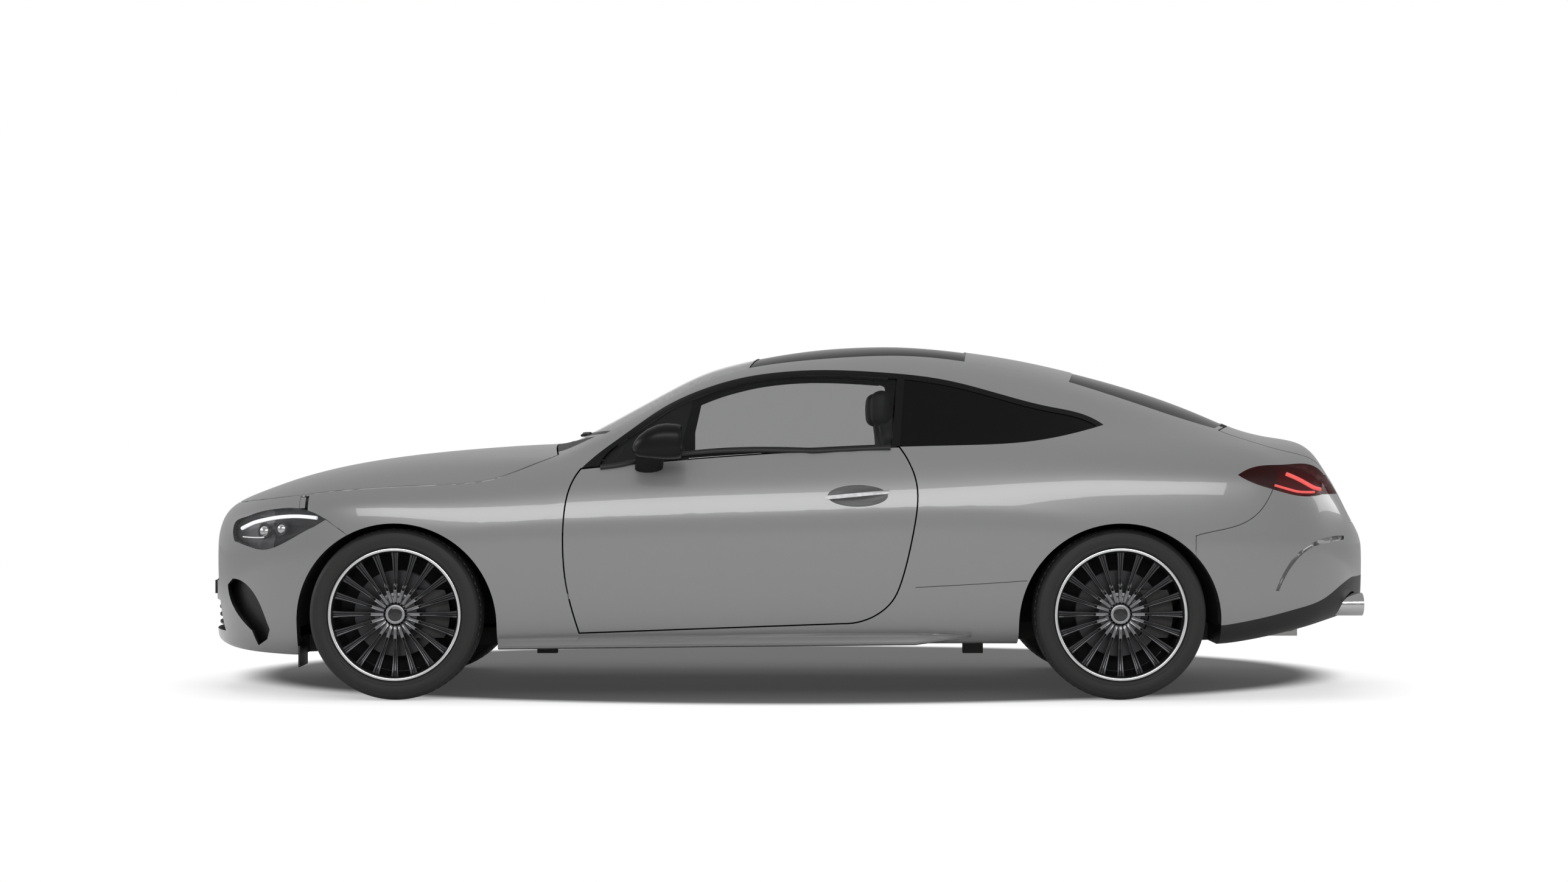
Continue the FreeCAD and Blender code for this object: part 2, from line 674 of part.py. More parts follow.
corner_intake = prism(CORNER_INTAKE, SIDE, -WIDE, -480)
upright_bars = [box(NOSE_START, NOSE_END, y - vane_wall / 2, y + vane_wall / 2, up(400), up(720))
                for y in [step * 2 * vane_pitch for step in range(-7, 8)]]
level_bars = [box(NOSE_START, NOSE_END, -WIDE, WIDE, up(z), up(z) + vane_wall)
              for z in [212 + step * 1.2 * vane_pitch for step in range(8)]]
corner_vane = prism(CORNER_VANE, SIDE, -WIDE, -480)
straight_in, corner_in = Vector(1, 0, 0), Vector(0.6, 0.8, 0)
grille_parts = []
for opening, inward, bars in (
    (prism(GRILLE, REAR_VIEW, NOSE_START, NOSE_END), straight_in, upright_bars),
    (prism(LOWER_INTAKE, REAR_VIEW, NOSE_START, NOSE_END), straight_in, level_bars),
    (corner_intake, corner_in, level_bars + [corner_vane]),
):
    back = set_back(inward, intake_depth)
    room = opening.common(set_back(inward, vane_set)).cut(back)
    filled = room.common(set_back(inward, intake_floor)).fuse(room.common(Part.makeCompound(bars)))
    grille_parts.append(largest(filled))
    pocket = opening.cut(back)
    front_bumper = front_bumper.cut(pocket)
    if inward is corner_in:
        grille_parts.append(mirrored(grille_parts[-1]))
        front_bumper = front_bumper.cut(mirrored(pocket))
rear_split = prism(REAR_SPLIT, SIDE, -WIDE, WIDE)
rear_bumper = wall.common(rear_split).cut(shut_groove(REAR_SPLIT))
wall = wall.cut(rear_split)
valance_prism = prism(VALANCE, SIDE, -WIDE, WIDE)
rear_valance = rear_bumper.common(valance_prism)
rear_bumper = rear_bumper.cut(valance_prism)
scoop = prism(REAR_SCOOP, SIDE, -WIDE, -400).cut(skin_back)
rear_bumper = rear_bumper.cut(scoop).cut(mirrored(scoop))

# Floor: the bottom of the shell between the sills, under the engine and up to the rear valance
FLOOR_HALF = 690
floor_space = box(-2600, 2600, -FLOOR_HALF, FLOOR_HALF, 0, 330)
floor_pan = wall.common(floor_space)
wall = wall.cut(floor_space)

# Left side: door, wing, side frame
DOOR_CORE_SET = 20
left = wall.common(left_half)
door_prism = prism(grown(DOOR, -half_gap), SIDE, -WIDE, -300)
door_skin = outer.cut(skin_back).common(door_prism)
door_core = core_face.cut(cavity).common(prism(grown(DOOR, -DOOR_CORE_SET), SIDE, -WIDE, -300))
door = door_skin.fuse(door_core)

# Handle: a bar across a shallow oval recess in the door
handle_x, handle_z = along(270), up(812)
handle_end = number("handle_length") / 2
sight = Part.makeLine(Vector(handle_x, -WIDE, handle_z), Vector(handle_x, 0, handle_z))
handle_y = min(vertex.Point.y for vertex in sight.common(outer).Vertexes)
recess_depth, half_tall = number("handle_recess"), number("handle_height") / 2
recess_radius = (half_tall ** 2 + recess_depth ** 2) / (2 * recess_depth)
recess_reach = handle_end / math.sqrt(1 - (1 - recess_depth / recess_radius) ** 2)
recess_y = handle_y - (recess_radius - recess_depth)
oval = Part.ArcOfEllipse(Part.Ellipse(Vector(handle_x, recess_y, handle_z), recess_reach, recess_radius), 0, math.pi)
oval_face = Part.Face(Part.Wire([oval.toShape(), Part.makeLine(oval.EndPoint, oval.StartPoint)]))
recess = oval_face.revolve(Vector(handle_x, recess_y, handle_z), Vector(1, 0, 0), 360)
bar_half, bar_rise = number("handle_bar") / 2, 12
bar_runs = [(along(270) - handle_end - 8, handle_z - bar_rise), (along(270) + handle_end + 8, handle_z + bar_rise)]
(bar_x0, bar_z0), (bar_x1, bar_z1) = bar_runs
bar_wire = Part.makePolygon([
    Vector(bar_x0, handle_y - 5, bar_z0 - bar_half), Vector(bar_x1, handle_y - 5, bar_z1 - bar_half),
    Vector(bar_x1, handle_y - 5, bar_z1 + bar_half), Vector(bar_x0, handle_y - 5, bar_z0 + bar_half),
    Vector(bar_x0, handle_y - 5, bar_z0 - bar_half)])
handle_bar = Part.Face(bar_wire).extrude(Vector(0, 16, 0))
door = door.cut(recess).fuse(handle_bar)
left = left.cut(opened(DOOR, SIDE, -WIDE, -300))
window_prism = prism(WINDOW, SIDE, -WIDE, -300)
left = left.cut(window_prism)
wing_prism = prism(WING, SIDE, -WIDE, -300)
wing = largest(left.common(wing_prism))
left = left.cut(wing_prism)
daylight_prism = prism(DAYLIGHT, SIDE, -WIDE, -300)
pillar_prism = prism(PILLAR, SIDE, -WIDE, -300)
glass_left = glass_skin.common(left_half).common(window_prism)
door_glass_prism = prism(closed([(-900, 800)], [(393, 800)], [(399, 940)], [(442, 1400)], [(-900, 1400)]),
                         SIDE, -WIDE, -300)
door_pane = glass_skin.common(left_half).common(prism(grown(DAYLIGHT, -number("panel_gap")), SIDE, -WIDE, -300))
door_pane = largest(door_pane.common(door_glass_prism).cut(door_prism))
trim_skin = outer.cut(skin_back).common(left_half).common(window_prism)
door_room = opened(DOOR, SIDE, -WIDE, -300)
trim = trim_skin.cut(daylight_prism).cut(door_room)
pillar = largest(trim_skin.common(pillar_prism).common(daylight_prism).cut(door_room))
ahead_of_quarter = prism(closed([(-900, 800)], [(424, 800)], [(437, 940)], [(478, 1400)], [(-900, 1400)]),
                         SIDE, -WIDE, -300)
quarter_pane = largest(glass_left.common(daylight_prism).cut(ahead_of_quarter).cut(door_room))

# Blade along the foot of the side frame, which ends in a point ahead of the rear wheel
BLADE = [(-780, 198), (-842, 198), (-866, 204), (-874, 214), (-858, 234), (-822, 256), (-780, 256)]
blade_rings = []
for blade_x, blade_in, blade_rise, blade_share in ((-1150, 0, 0, 1), (-300, 8, 9, 1), (500, 6, 17, 1), (722, 28, 26, 0.35)):
    ring_points = [Vector(along(blade_x), out(y + blade_in), up(227 + (z - 227) * blade_share + blade_rise))
                   for y, z in BLADE]
    blade_rings.append(Part.makePolygon(ring_points + ring_points[:1]))
blade = Part.makeLoft(blade_rings, True, True)
left = left.fuse(blade.cut(opened(DOOR, SIDE, -WIDE, -300)))

# Hinge plates that fill the front of the door opening up to the door's frame
hinge_band = opened(DOOR, SIDE, -870, -830).cut(
    prism(grown(DOOR, number("seat_gap") - DOOR_CORE_SET), SIDE, -WIDE, -300))
for low, high in ((400, 480), (660, 740)):
    left = left.fuse(hinge_band.common(box(along(-960), along(-840), -870, -830, up(low), up(high))))


def add_piece(name, shape):
    """Check a free-form piece before it becomes a sub-part."""
    print(name, shape.isValid(), [round(solid.Volume / 1e6, 2) for solid in shape.Solids])
    return shape_object(name, shape)


# Inside the shell: bulkheads, liners and trim are drawn against the cavity's own walls
cabin_front = along(-985)
BULKHEAD_WALL = 24
cowl = box(cabin_front - BULKHEAD_WALL, cabin_front, -WIDE, WIDE, 180, TOP)
firewall = cavity.common(cowl)
firewall = firewall.cut(prism(grown(BONNET, half_gap), PLAN_VIEW, up(880), TOP))
shelf_runs = closed([(1190, 960)], [(1190, 940)], [(1700, 985)], [(1700, 1005)])
rear_wall_runs = closed([(1190, 230)], [(1214, 230)], [(1214, 965)], [(1190, 965)])
rear_shelf = cavity.common(prism(shelf_runs, SIDE, -WIDE, WIDE).fuse(prism(rear_wall_runs, SIDE, -WIDE, WIDE)))

liner_out = arch_radius + number("liner_wall") + 2
liner_in = arch_radius + 2
LINER_INNER = 452


def liner(axle_x):
    """A wheelhouse inside the shell: a drum wall over the wheel, closed by a plate on its inner side."""
    whole = arch(axle_x, liner_out, LINER_INNER)
    room = arch(axle_x, liner_in, LINER_INNER + number("liner_wall"))
    return whole.cut(room).common(cavity).cut(box(-3000, 3000, -WIDE, WIDE, 0, arch_z - 20))


liners = liner(front_axle_x).fuse(liner(rear_axle_x))
room_for_liners = arch(front_axle_x, liner_out, LINER_INNER).fuse(arch(rear_axle_x, liner_out, LINER_INNER))
firewall = firewall.cut(room_for_liners)
rear_shelf = rear_shelf.cut(room_for_liners)
floor_pan = floor_pan.cut(room_for_liners)
floor_pan = largest(floor_pan)

DASH_HALF = 700
dash_runs = closed([(-985, 905), (-860, 935)], [(-700, 945), (-560, 925)], [(-520, 880)], [(-540, 800)],
                   [(-640, 640)], [(-700, 560)], [(-985, 560)])
dash = cavity.common(prism(dash_runs, SIDE, -DASH_HALF, DASH_HALF))
STEER_Y, STEER_RAKE = -370, math.radians(24)
steer_axis = Vector(math.cos(STEER_RAKE), 0, math.sin(STEER_RAKE))
steer_centre = Vector(along(-430), STEER_Y, up(900))
BOSS_RADIUS, BOSS_DEPTH, BOSS_BACK = 62, 34, 4
column = Part.makeCylinder(32, 210, steer_centre - steer_axis * (BOSS_BACK + number("seat_gap")), -steer_axis)
dash = dash.fuse(column)

add_piece("bulkheads", Part.makeCompound([firewall, rear_shelf, deck_strip]))
add_piece("arch_liners", liners)
add_piece("dashboard", dash)
add_piece("bonnet", bonnet)
add_piece("boot_lid", boot_lid)
add_piece("windscreen", windscreen)
add_piece("roof_glass", roof_glass)
add_piece("rear_window", rear_window)
add_piece("roof_panel", Part.makeCompound([roof_panel, roof_strip]))
add_piece("scuttle", scuttle)


# Rubber buffers that the bonnet and the boot lid close on
def buffers(lid_shape, x, y, base):
    """A pair of rubber buffers that stand on a base and stop just under a lid."""
    lowered = lid_shape.copy()
    lowered.translate(Vector(0, 0, -number("seat_gap")))
    post = Part.makeCylinder(number("buffer_radius"), 90, Vector(x, -y, base)).cut(lowered)
    post = min(post.Solids, key=lambda solid: solid.CenterOfMass.z)
    return [post, mirrored(post)]


front_bumper = front_bumper.fuse(buffers(bonnet, along(-2225), 300, LID_FLOOR - 10))
rear_bumper = rear_bumper.fuse(buffers(boot_lid, along(2289) - 4, 120, LID_FLOOR - number("panel_gap")))
add_piece("front_bumper", front_bumper)
add_piece("front_grille", Part.makeCompound(grille_parts))
add_piece("rear_bumper", rear_bumper)
pair("headlamps", headlamp)
pair("tail_lamps", tail_lamp)
pair("front_wings", wing)
pair("quarter_windows", quarter_pane)
pair("window_trims", Part.makeCompound([solid for solid in trim.Solids if solid.Volume > 2000] + [pillar]))
side_frame = largest(left)
for name, shape in (("door", door), ("door_glass", door_pane), ("side_frame", side_frame)):
    add_piece(name + "_left", shape)
    shape_object(name + "_right", mirrored(shape))

# Mirrors: a rounded head on a foot that stands on the door's shoulder
MIRROR_RINGS = [(-838, 40, 34), (-870, 84, 58), (-930, 98, 70), (-985, 84, 62), (-1012, 44, 34)]
MIRROR_X, MIRROR_Z = along(-520), 1024


def ring(y, reach_x, reach_z):
    """An upright oval of the mirror's head at a distance from the car's middle."""
    oval = Part.Ellipse(Vector(MIRROR_X, y, MIRROR_Z), reach_x, reach_z)
    oval.Axis = Vector(0, 1, 0)
    return Part.Wire(oval.toShape())


head = Part.makeLoft([ring(*values) for values in MIRROR_RINGS], True)
foot_runs = closed([(-606, 985)], [(-575, 880)], [(-500, 880)], [(-505, 985)])
foot = prism(foot_runs, SIDE, -905, -770).cut(outer)
mirror = head.fuse(foot.common(box(-3000, 3000, -905, 0, 850, 2000))).cut(outer)
mirror = largest(mirror)
add_piece("mirror_left", mirror)
shape_object("mirror_right", mirrored(mirror))

def origin_plane(body, role):
    for feature in body.Origin.OriginFeatures:
        if feature.Role == role:
            return feature


def new_sketch(body, role, name):
    sketch = body.newObject("Sketcher::SketchObject", name)
    sketch.AttachmentSupport = [(origin_plane(body, role), "")]
    sketch.MapMode = "FlatFace"
    return sketch


def draw_loop(sketch, points):
    """A closed outline whose corners are held from the origin by sheet formulas."""
    points = [(dim(a), dim(b)) for a, b in points]
    first = sketch.GeometryCount
    count = len(points)
    for i in range(count):
        a, b = points[i], points[(i + 1) % count]
        sketch.addGeometry(
            Part.LineSegment(Vector(a[0].value, a[1].value, 0), Vector(b[0].value, b[1].value, 0)), False
        )
    for i in range(count):
        line, following = first + i, first + (i + 1) % count
        sketch.addConstraint(Sketcher.Constraint("Coincident", line, 2, following, 1))
        for kind, value in zip(("DistanceX", "DistanceY"), points[i]):
            index = sketch.addConstraint(Sketcher.Constraint(kind, -1, 1, line, 1, value.value))
            sketch.setExpression("Constraints[%d]" % index, value.text)


def cut_round(body, label, draw, count):
    """Cut a shape through along the axle and repeat it evenly round the wheel."""
    sketch = new_sketch(body, "XZ_Plane", label + "_shape")
    draw(sketch)
    pocket = body.newObject("PartDesign::Pocket", label)
    pocket.Profile = sketch
    pocket.Type = "ThroughAll"
    pocket.Midplane = True
    around = body.newObject("PartDesign::PolarPattern", label + "_round")
    around.Originals = [pocket]
    around.Axis = (origin_plane(body, "Y_Axis"), [""])
    around.Angle = 360
    around.Occurrences = int(count.value)
    around.setExpression("Occurrences", count.text)
    body.Tip = around


# Wheels. A profile's second value is measured inboard from the tyre's middle, so the face is at the negative end.
rim_radius, tyre_radius, bead_radius = size("rim_radius"), size("tyre_radius"), size("bead_radius")
half_tyre, half_rim = size("tyre_width") * 0.5, size("rim_width") * 0.5
shoulder = size("tyre_shoulder")
rim_wall = size("rim_wall")
hub_radius, hub_depth = size("hub_radius"), size("hub_depth")
spoke_depth, spoke_width = size("spoke_depth"), size("spoke_width")
spindle_radius, running_fit = size("spindle_radius"), size("running_fit")
disc_radius, disc_depth = size("disc_radius"), size("disc_depth")
BEAD = 8
HUB_FACE = -74
HUB_CAP = 30
HAT_RADIUS = 78
HAT_DEPTH = 8
FACE_SET = 16


def turn_about_axle(body, label, points):
    """Add a shape turned about the axle, from a profile of (radius, place along the axle)."""
    sketch = new_sketch(body, "XY_Plane", label + "_profile")
    draw_loop(sketch, points)
    turned = body.newObject("PartDesign::Revolution", label)
    turned.Profile = sketch
    turned.ReferenceAxis = (sketch, ["V_Axis"])
    turned.Angle = 360
    body.Tip = turned


def new_body(label):
    body = doc.addObject("PartDesign::Body", label)
    body.Label = label
    return body


def wheel_rim(label):
    """Barrel, dished face and hub in one, with the brake disc on the hub's inner side."""
    bore = spindle_radius + running_fit
    barrel_radius = bead_radius - running_fit
    inner_wall = barrel_radius - rim_wall
    hub_inner = hub_depth + HUB_FACE
    disc_face = hub_inner + HAT_DEPTH
    disc_rear = disc_face + disc_depth
    body = new_body(label)
    turn_about_axle(body, label + "_cast", [
        (0, HUB_FACE), (hub_radius, HUB_FACE), (inner_wall, -half_rim + FACE_SET), (inner_wall + 4, -half_rim),
        (rim_radius, -half_rim), (rim_radius, -half_rim + BEAD), (barrel_radius, -half_rim + BEAD),
        (barrel_radius, half_rim - BEAD), (rim_radius, half_rim - BEAD), (rim_radius, half_rim),
        (inner_wall, half_rim), (inner_wall, -half_rim + FACE_SET + spoke_depth),
        (hub_radius, HUB_FACE + spoke_depth), (HAT_RADIUS, hub_inner), (bore, hub_inner),
        (bore, HUB_FACE + HUB_CAP), (0, HUB_FACE + HUB_CAP),
    ])
    half_step = math.tan(math.pi / number("spoke_count"))
    inner_reach, outer_reach = hub_radius + 12, inner_wall - 8
    half_spoke = spoke_width * 0.5

    def window(sketch):
        draw_loop(sketch, [
            (half_spoke - inner_reach * half_step, inner_reach),
            (inner_reach * half_step - half_spoke, inner_reach),
            (outer_reach * half_step - half_spoke, outer_reach),
            (half_spoke - outer_reach * half_step, outer_reach),
        ])

    cut_round(body, label + "_window", window, size("spoke_count"))
    turn_about_axle(body, label + "_disc", [
        (bore, hub_inner - 4), (HAT_RADIUS, hub_inner - 4), (HAT_RADIUS, disc_face), (disc_radius, disc_face),
        (disc_radius, disc_rear), (bore, disc_rear),
    ])
    return body


def tyre(label):
    """The tyre with rounded shoulders and bulging walls, seated on the rim's barrel."""
    body = new_body(label)
    turn_about_axle(body, label + "_turned", [
        (bead_radius, BEAD + running_fit - half_rim), (rim_radius + running_fit, BEAD + running_fit - half_rim),
        (rim_radius + 8, -half_rim - 2), (bead_radius + 50, -half_tyre),
        (tyre_radius - shoulder * 0.8, -half_tyre + shoulder * 0.25), (tyre_radius - 5, -half_tyre + shoulder),
        (tyre_radius, -half_tyre + shoulder * 2),
        (tyre_radius, half_tyre - shoulder * 2), (tyre_radius - 5, half_tyre - shoulder),
        (tyre_radius - shoulder * 0.8, half_tyre - shoulder * 0.25), (bead_radius + 50, half_tyre),
        (rim_radius + 8, half_rim + 2), (rim_radius + running_fit, half_rim - BEAD - running_fit),
        (bead_radius, half_rim - BEAD - running_fit),
    ])
    return body


CORNERS = [
    ("front_left", front_axle_x, -1), ("front_right", front_axle_x, 1),
    ("rear_left", rear_axle_x, -1), ("rear_right", rear_axle_x, 1),
]
for corner, axle_x, side in CORNERS:
    for body in (wheel_rim("rim_" + corner), tyre("tyre_" + corner)):
        turned = Rotation(Vector(0, 0, 1), 180 if side > 0 else 0)
        body.Placement = Placement(Vector(axle_x, side * wheel_y, wheel_z), turned)

# What carries the wheels: a spindle through the hub, an upright behind the disc and a calliper over it
UPRIGHT_FACE = -6
hub_back = number("hub_depth") + HUB_FACE
disc_outer = hub_back + HAT_DEPTH
disc_inner = disc_outer + number("disc_depth")
DISC_CLEAR = 7
PIVOT_INBOARD = 45


def hub_carrier(axle_x):
    """Spindle, upright and calliper of a left wheel."""
    centre = Vector(axle_x, 0, wheel_z)
    axle_y = -wheel_y
    spindle = Part.makeCylinder(number("spindle_radius"), disc_inner + 60 - (HUB_FACE + 32),
                                centre + Vector(0, axle_y + HUB_FACE + 32, 0), Vector(0, 1, 0))
    flange = Part.makeCylinder(62, 20, centre + Vector(0, axle_y + disc_inner + DISC_CLEAR, 0), Vector(0, 1, 0))
    upright = box(axle_x - 45, axle_x + 45, axle_y + disc_inner + 14, axle_y + disc_inner + 60,
                  wheel_z - 150, wheel_z + 165)
    drum = Part.makeCylinder(212, 130, centre + Vector(0, axle_y + disc_outer - 36, 0), Vector(0, 1, 0))
    hollow = Part.makeCylinder(118, 130, centre + Vector(0, axle_y + disc_outer - 36, 0), Vector(0, 1, 0))
    slot = Part.makeCylinder(number("disc_radius") + DISC_CLEAR, disc_inner - disc_outer + 2 * DISC_CLEAR,
                             centre + Vector(0, axle_y + disc_outer - DISC_CLEAR, 0), Vector(0, 1, 0))
    block = box(axle_x + 60, axle_x + 230, axle_y - 200, axle_y + 200, wheel_z - 95, wheel_z + 95)
    calliper = drum.cut(hollow).common(block).cut(slot)
    arm = box(axle_x - 40, axle_x + 150, axle_y + disc_inner + 16, axle_y + disc_inner + 58,
              wheel_z - 40, wheel_z + 40)
    return spindle.fuse([flange, upright, calliper, arm])


front_carrier = hub_carrier(front_axle_x)
rear_carrier = hub_carrier(rear_axle_x)
ball_top, ball_low = wheel_z + 165, wheel_z - 150
for name, shape in (("knuckle_left", front_carrier), ("knuckle_right", mirrored(front_carrier))):
    add_piece(name, shape)


running_gap = number("running_fit")
CROSS_HALF = 400
CROSS_LOW, CROSS_TOP = 252, 300
carrier_y = -wheel_y + disc_inner + 37


def lower_arm(axle_x):
    """The left arm from the cross-member down and out to the foot of the wheel's carrier."""
    reach = box(axle_x - 28, axle_x + 28, carrier_y, -CROSS_HALF, ball_low - 40, ball_low - 6)
    foot = box(axle_x - 22, axle_x + 22, carrier_y - 8, carrier_y + 26, ball_low - 40, ball_low - running_gap)
    hanger = box(axle_x - 30, axle_x + 30, -CROSS_HALF - 10, -CROSS_HALF + 60, ball_low - 40, CROSS_TOP)
    return reach.fuse([foot, hanger])


for name, axle_x in (("front_subframe", front_axle_x), ("rear_suspension", rear_axle_x)):
    cross = box(axle_x - 90, axle_x + 90, -CROSS_HALF - 10, CROSS_HALF + 10, CROSS_LOW, CROSS_TOP)
    left_side = lower_arm(axle_x)
    if name == "rear_suspension":
        bolted = box(axle_x - 34, axle_x + 34, carrier_y - 20, carrier_y + 20, ball_low - 10, ball_low + 10)
        left_side = left_side.fuse([rear_carrier, bolted])
    beam = cross.fuse([left_side, mirrored(left_side)])
    add_piece(name, beam)
    floor_pan = floor_pan.cut(beam)

# Jacking pads under the sills, at a quarter of the wheelbase from each axle
pad_half_x, pad_half_y = number("jack_pad_length") / 2, number("jack_pad_width") / 2
PAD_Y = 640
for pad_x in (along(-970), along(740)):
    for pad_y in (-PAD_Y, PAD_Y):
        floor_pan = floor_pan.fuse(box(pad_x - pad_half_x, pad_x + pad_half_x, pad_y - pad_half_y,
                                       pad_y + pad_half_y, number("jack_pad_height"), 225))
floor_pan = largest(floor_pan)
add_piece("floor_pan", floor_pan)

# Engine: one plain block on the cross-member
engine = doc.addObject("Part::Box", "engine_block")
engine.Label = "engine_block"
engine.setExpression("Length", "Sizes.engine_length")
engine.setExpression("Width", "Sizes.engine_width")
engine.setExpression("Height", "Sizes.engine_height")
engine.Placement = Placement(
    Vector(front_axle_x - 240, -number("engine_width") / 2, CROSS_TOP), Rotation()
)

# Seats
SEAT_Y = 370
seat_profile = closed(
    [(-180, 330)], [(-200, 440), (-150, 470), (100, 440), (290, 430)],
    [(330, 500), (420, 800), (470, 1010)], [(480, 1120), (520, 1135), (555, 1120)],
    [(560, 1000), (520, 800), (440, 470)], [(400, 330)],
)
seat_half = number("seat_width") / 2
BENCH_HALF = 560
seat = prism(seat_profile, SIDE, -SEAT_Y - seat_half, -SEAT_Y + seat_half)
head_space = box(-3000, 3000, -SEAT_Y - 140, -SEAT_Y + 140, 1015, 2000)
upper = box(-3000, 3000, -WIDE, 0, 1015, 2000)
seat = seat.cut(upper).fuse(seat.common(head_space))
legs = box(along(-120), along(340), -SEAT_Y - 180, -SEAT_Y + 180, 250, 331)
seat = largest(seat.fuse(legs.cut(floor_pan)))
pair("front_seats", seat)
bench_runs = closed([(640, 240)], [(640, 470), (700, 478), (1000, 430)], [(1110, 900)], [(1130, 940)], [(1190, 940)],
                    [(1190, 240)])
bench = prism(bench_runs, SIDE, -BENCH_HALF, BENCH_HALF).cut(room_for_liners).cut(floor_pan)
add_piece("rear_bench", largest(bench))

# Steering wheel on its column
RING_AHEAD = 18
wheel_ring = doc.addObject("Part::Torus", "steering_ring")
wheel_ring.setExpression("Radius1", "Sizes.steering_wheel_radius")
wheel_ring.setExpression("Radius2", "Sizes.steering_wheel_rim")
wheel_boss = doc.addObject("Part::Cylinder", "steering_boss")
wheel_boss.Radius = BOSS_RADIUS
wheel_boss.Height = BOSS_DEPTH
wheel_boss.Placement = Placement(Vector(0, 0, -BOSS_BACK - RING_AHEAD), Rotation())
wheel_bar = doc.addObject("Part::Box", "steering_bar")
wheel_bar.setExpression("Length", "2 * Sizes.steering_wheel_radius")
wheel_bar.Width = 30
wheel_bar.Height = 12
wheel_bar.setExpression("Placement.Base.x", "-Sizes.steering_wheel_radius")
wheel_bar.setExpression("Placement.Base.y", "-15")
wheel_bar.setExpression("Placement.Base.z", "-6")
steering = doc.addObject("Part::MultiFuse", "steering_wheel")
steering.Label = "steering_wheel"
steering.Shapes = [wheel_ring, wheel_boss, wheel_bar]
steering.Placement = Placement(steer_centre + steer_axis * RING_AHEAD, Rotation(Vector(0, 0, 1), steer_axis))

# Exhaust: a box under the boot with a pipe to a tip in each corner of the valance
silencer = box(along(1760), along(2080), -420, 420, 226, 300)
TIP_Y, TIP_Z, TIP_HALF_WIDE, TIP_HALF_TALL = 618, 366, 58, 46
tip_front, tip_end = along(2150), along(2306)


def tip_form(extra, start, end):
    """An oval bar in the left corner of the valance, larger all round than the tip by an extra."""
    oval = Part.Ellipse(Vector(start, -out(TIP_Y), up(TIP_Z)), TIP_HALF_WIDE + extra, TIP_HALF_TALL + extra)
    oval.Axis = Vector(1, 0, 0)
    oval.XAxis = Vector(0, 1, 0)
    return Part.Face(Part.Wire(oval.toShape())).extrude(Vector(end - start, 0, 0))


def pipe_form(extra):
    """The pipe from the box to the left tip, thicker than it by an extra."""
    start, end = Vector(along(2040), -395, 263), Vector(tip_front + 15, -out(TIP_Y), up(TIP_Z))
    run = end - start
    return Part.makeCylinder(number("exhaust_radius") + extra, run.Length, start, run)


tip = tip_form(0, tip_front, tip_end).cut(tip_form(-number("exhaust_wall"), tip_front + 20, tip_end))
tail_pipe = pipe_form(0).common(box(along(2000), tip_front + 10, -WIDE, 0, 227, up(800))).fuse(tip)
exhaust = silencer.fuse([tail_pipe, mirrored(tail_pipe)])
gap = number("panel_gap")
exhaust_room = tip_form(gap, tip_front - gap, along(2600)).fuse(pipe_form(gap))
rear_valance = rear_valance.cut(silencer).cut(exhaust_room).cut(mirrored(exhaust_room))
add_piece("exhaust", exhaust)
add_piece("rear_valance", largest(rear_valance))

doc.recompute()

NODES = [
    "floor_pan", "bulkheads", "arch_liners", "dashboard", "bonnet", "boot_lid", "windscreen", "roof_glass",
    "rear_window", "roof_panel", "front_bumper", "rear_bumper", "rear_valance", "headlamps", "tail_lamps",
    "front_wings", "quarter_windows", "window_trims", "door_left", "door_right", "door_glass_left",
    "door_glass_right", "side_frame_left", "side_frame_right", "mirror_left", "mirror_right",
    "knuckle_left", "knuckle_right", "front_subframe", "rear_suspension", "engine_block", "front_seats",
    "rear_bench", "steering_wheel", "exhaust", "scuttle", "front_grille",
]
NODES += ["rim_" + corner for corner, _, _ in CORNERS]
NODES += ["tyre_" + corner for corner, _, _ in CORNERS]

for item in doc.Objects:
    if "Invalid" in item.State or "Error" in item.State:
        raise RuntimeError("%s failed: %s" % (item.Label, item.State))
for name in NODES:
    shape = doc.getObjectsByLabel(name)[0].Shape
    if shape.isNull() or not shape.isValid():
        raise RuntimeError("%s has no sound shape" % name)
    shape.exportStep("parts/%s.step" % name)
    bounds = shape.BoundBox
    print("%-18s %2d solids %9.2f l  x %7.1f %7.1f  y %7.1f %7.1f  z %7.1f %7.1f" % (
        name, len(shape.Solids), shape.Volume / 1e6, bounds.XMin, bounds.XMax, bounds.YMin, bounds.YMax,
        bounds.ZMin, bounds.ZMax))
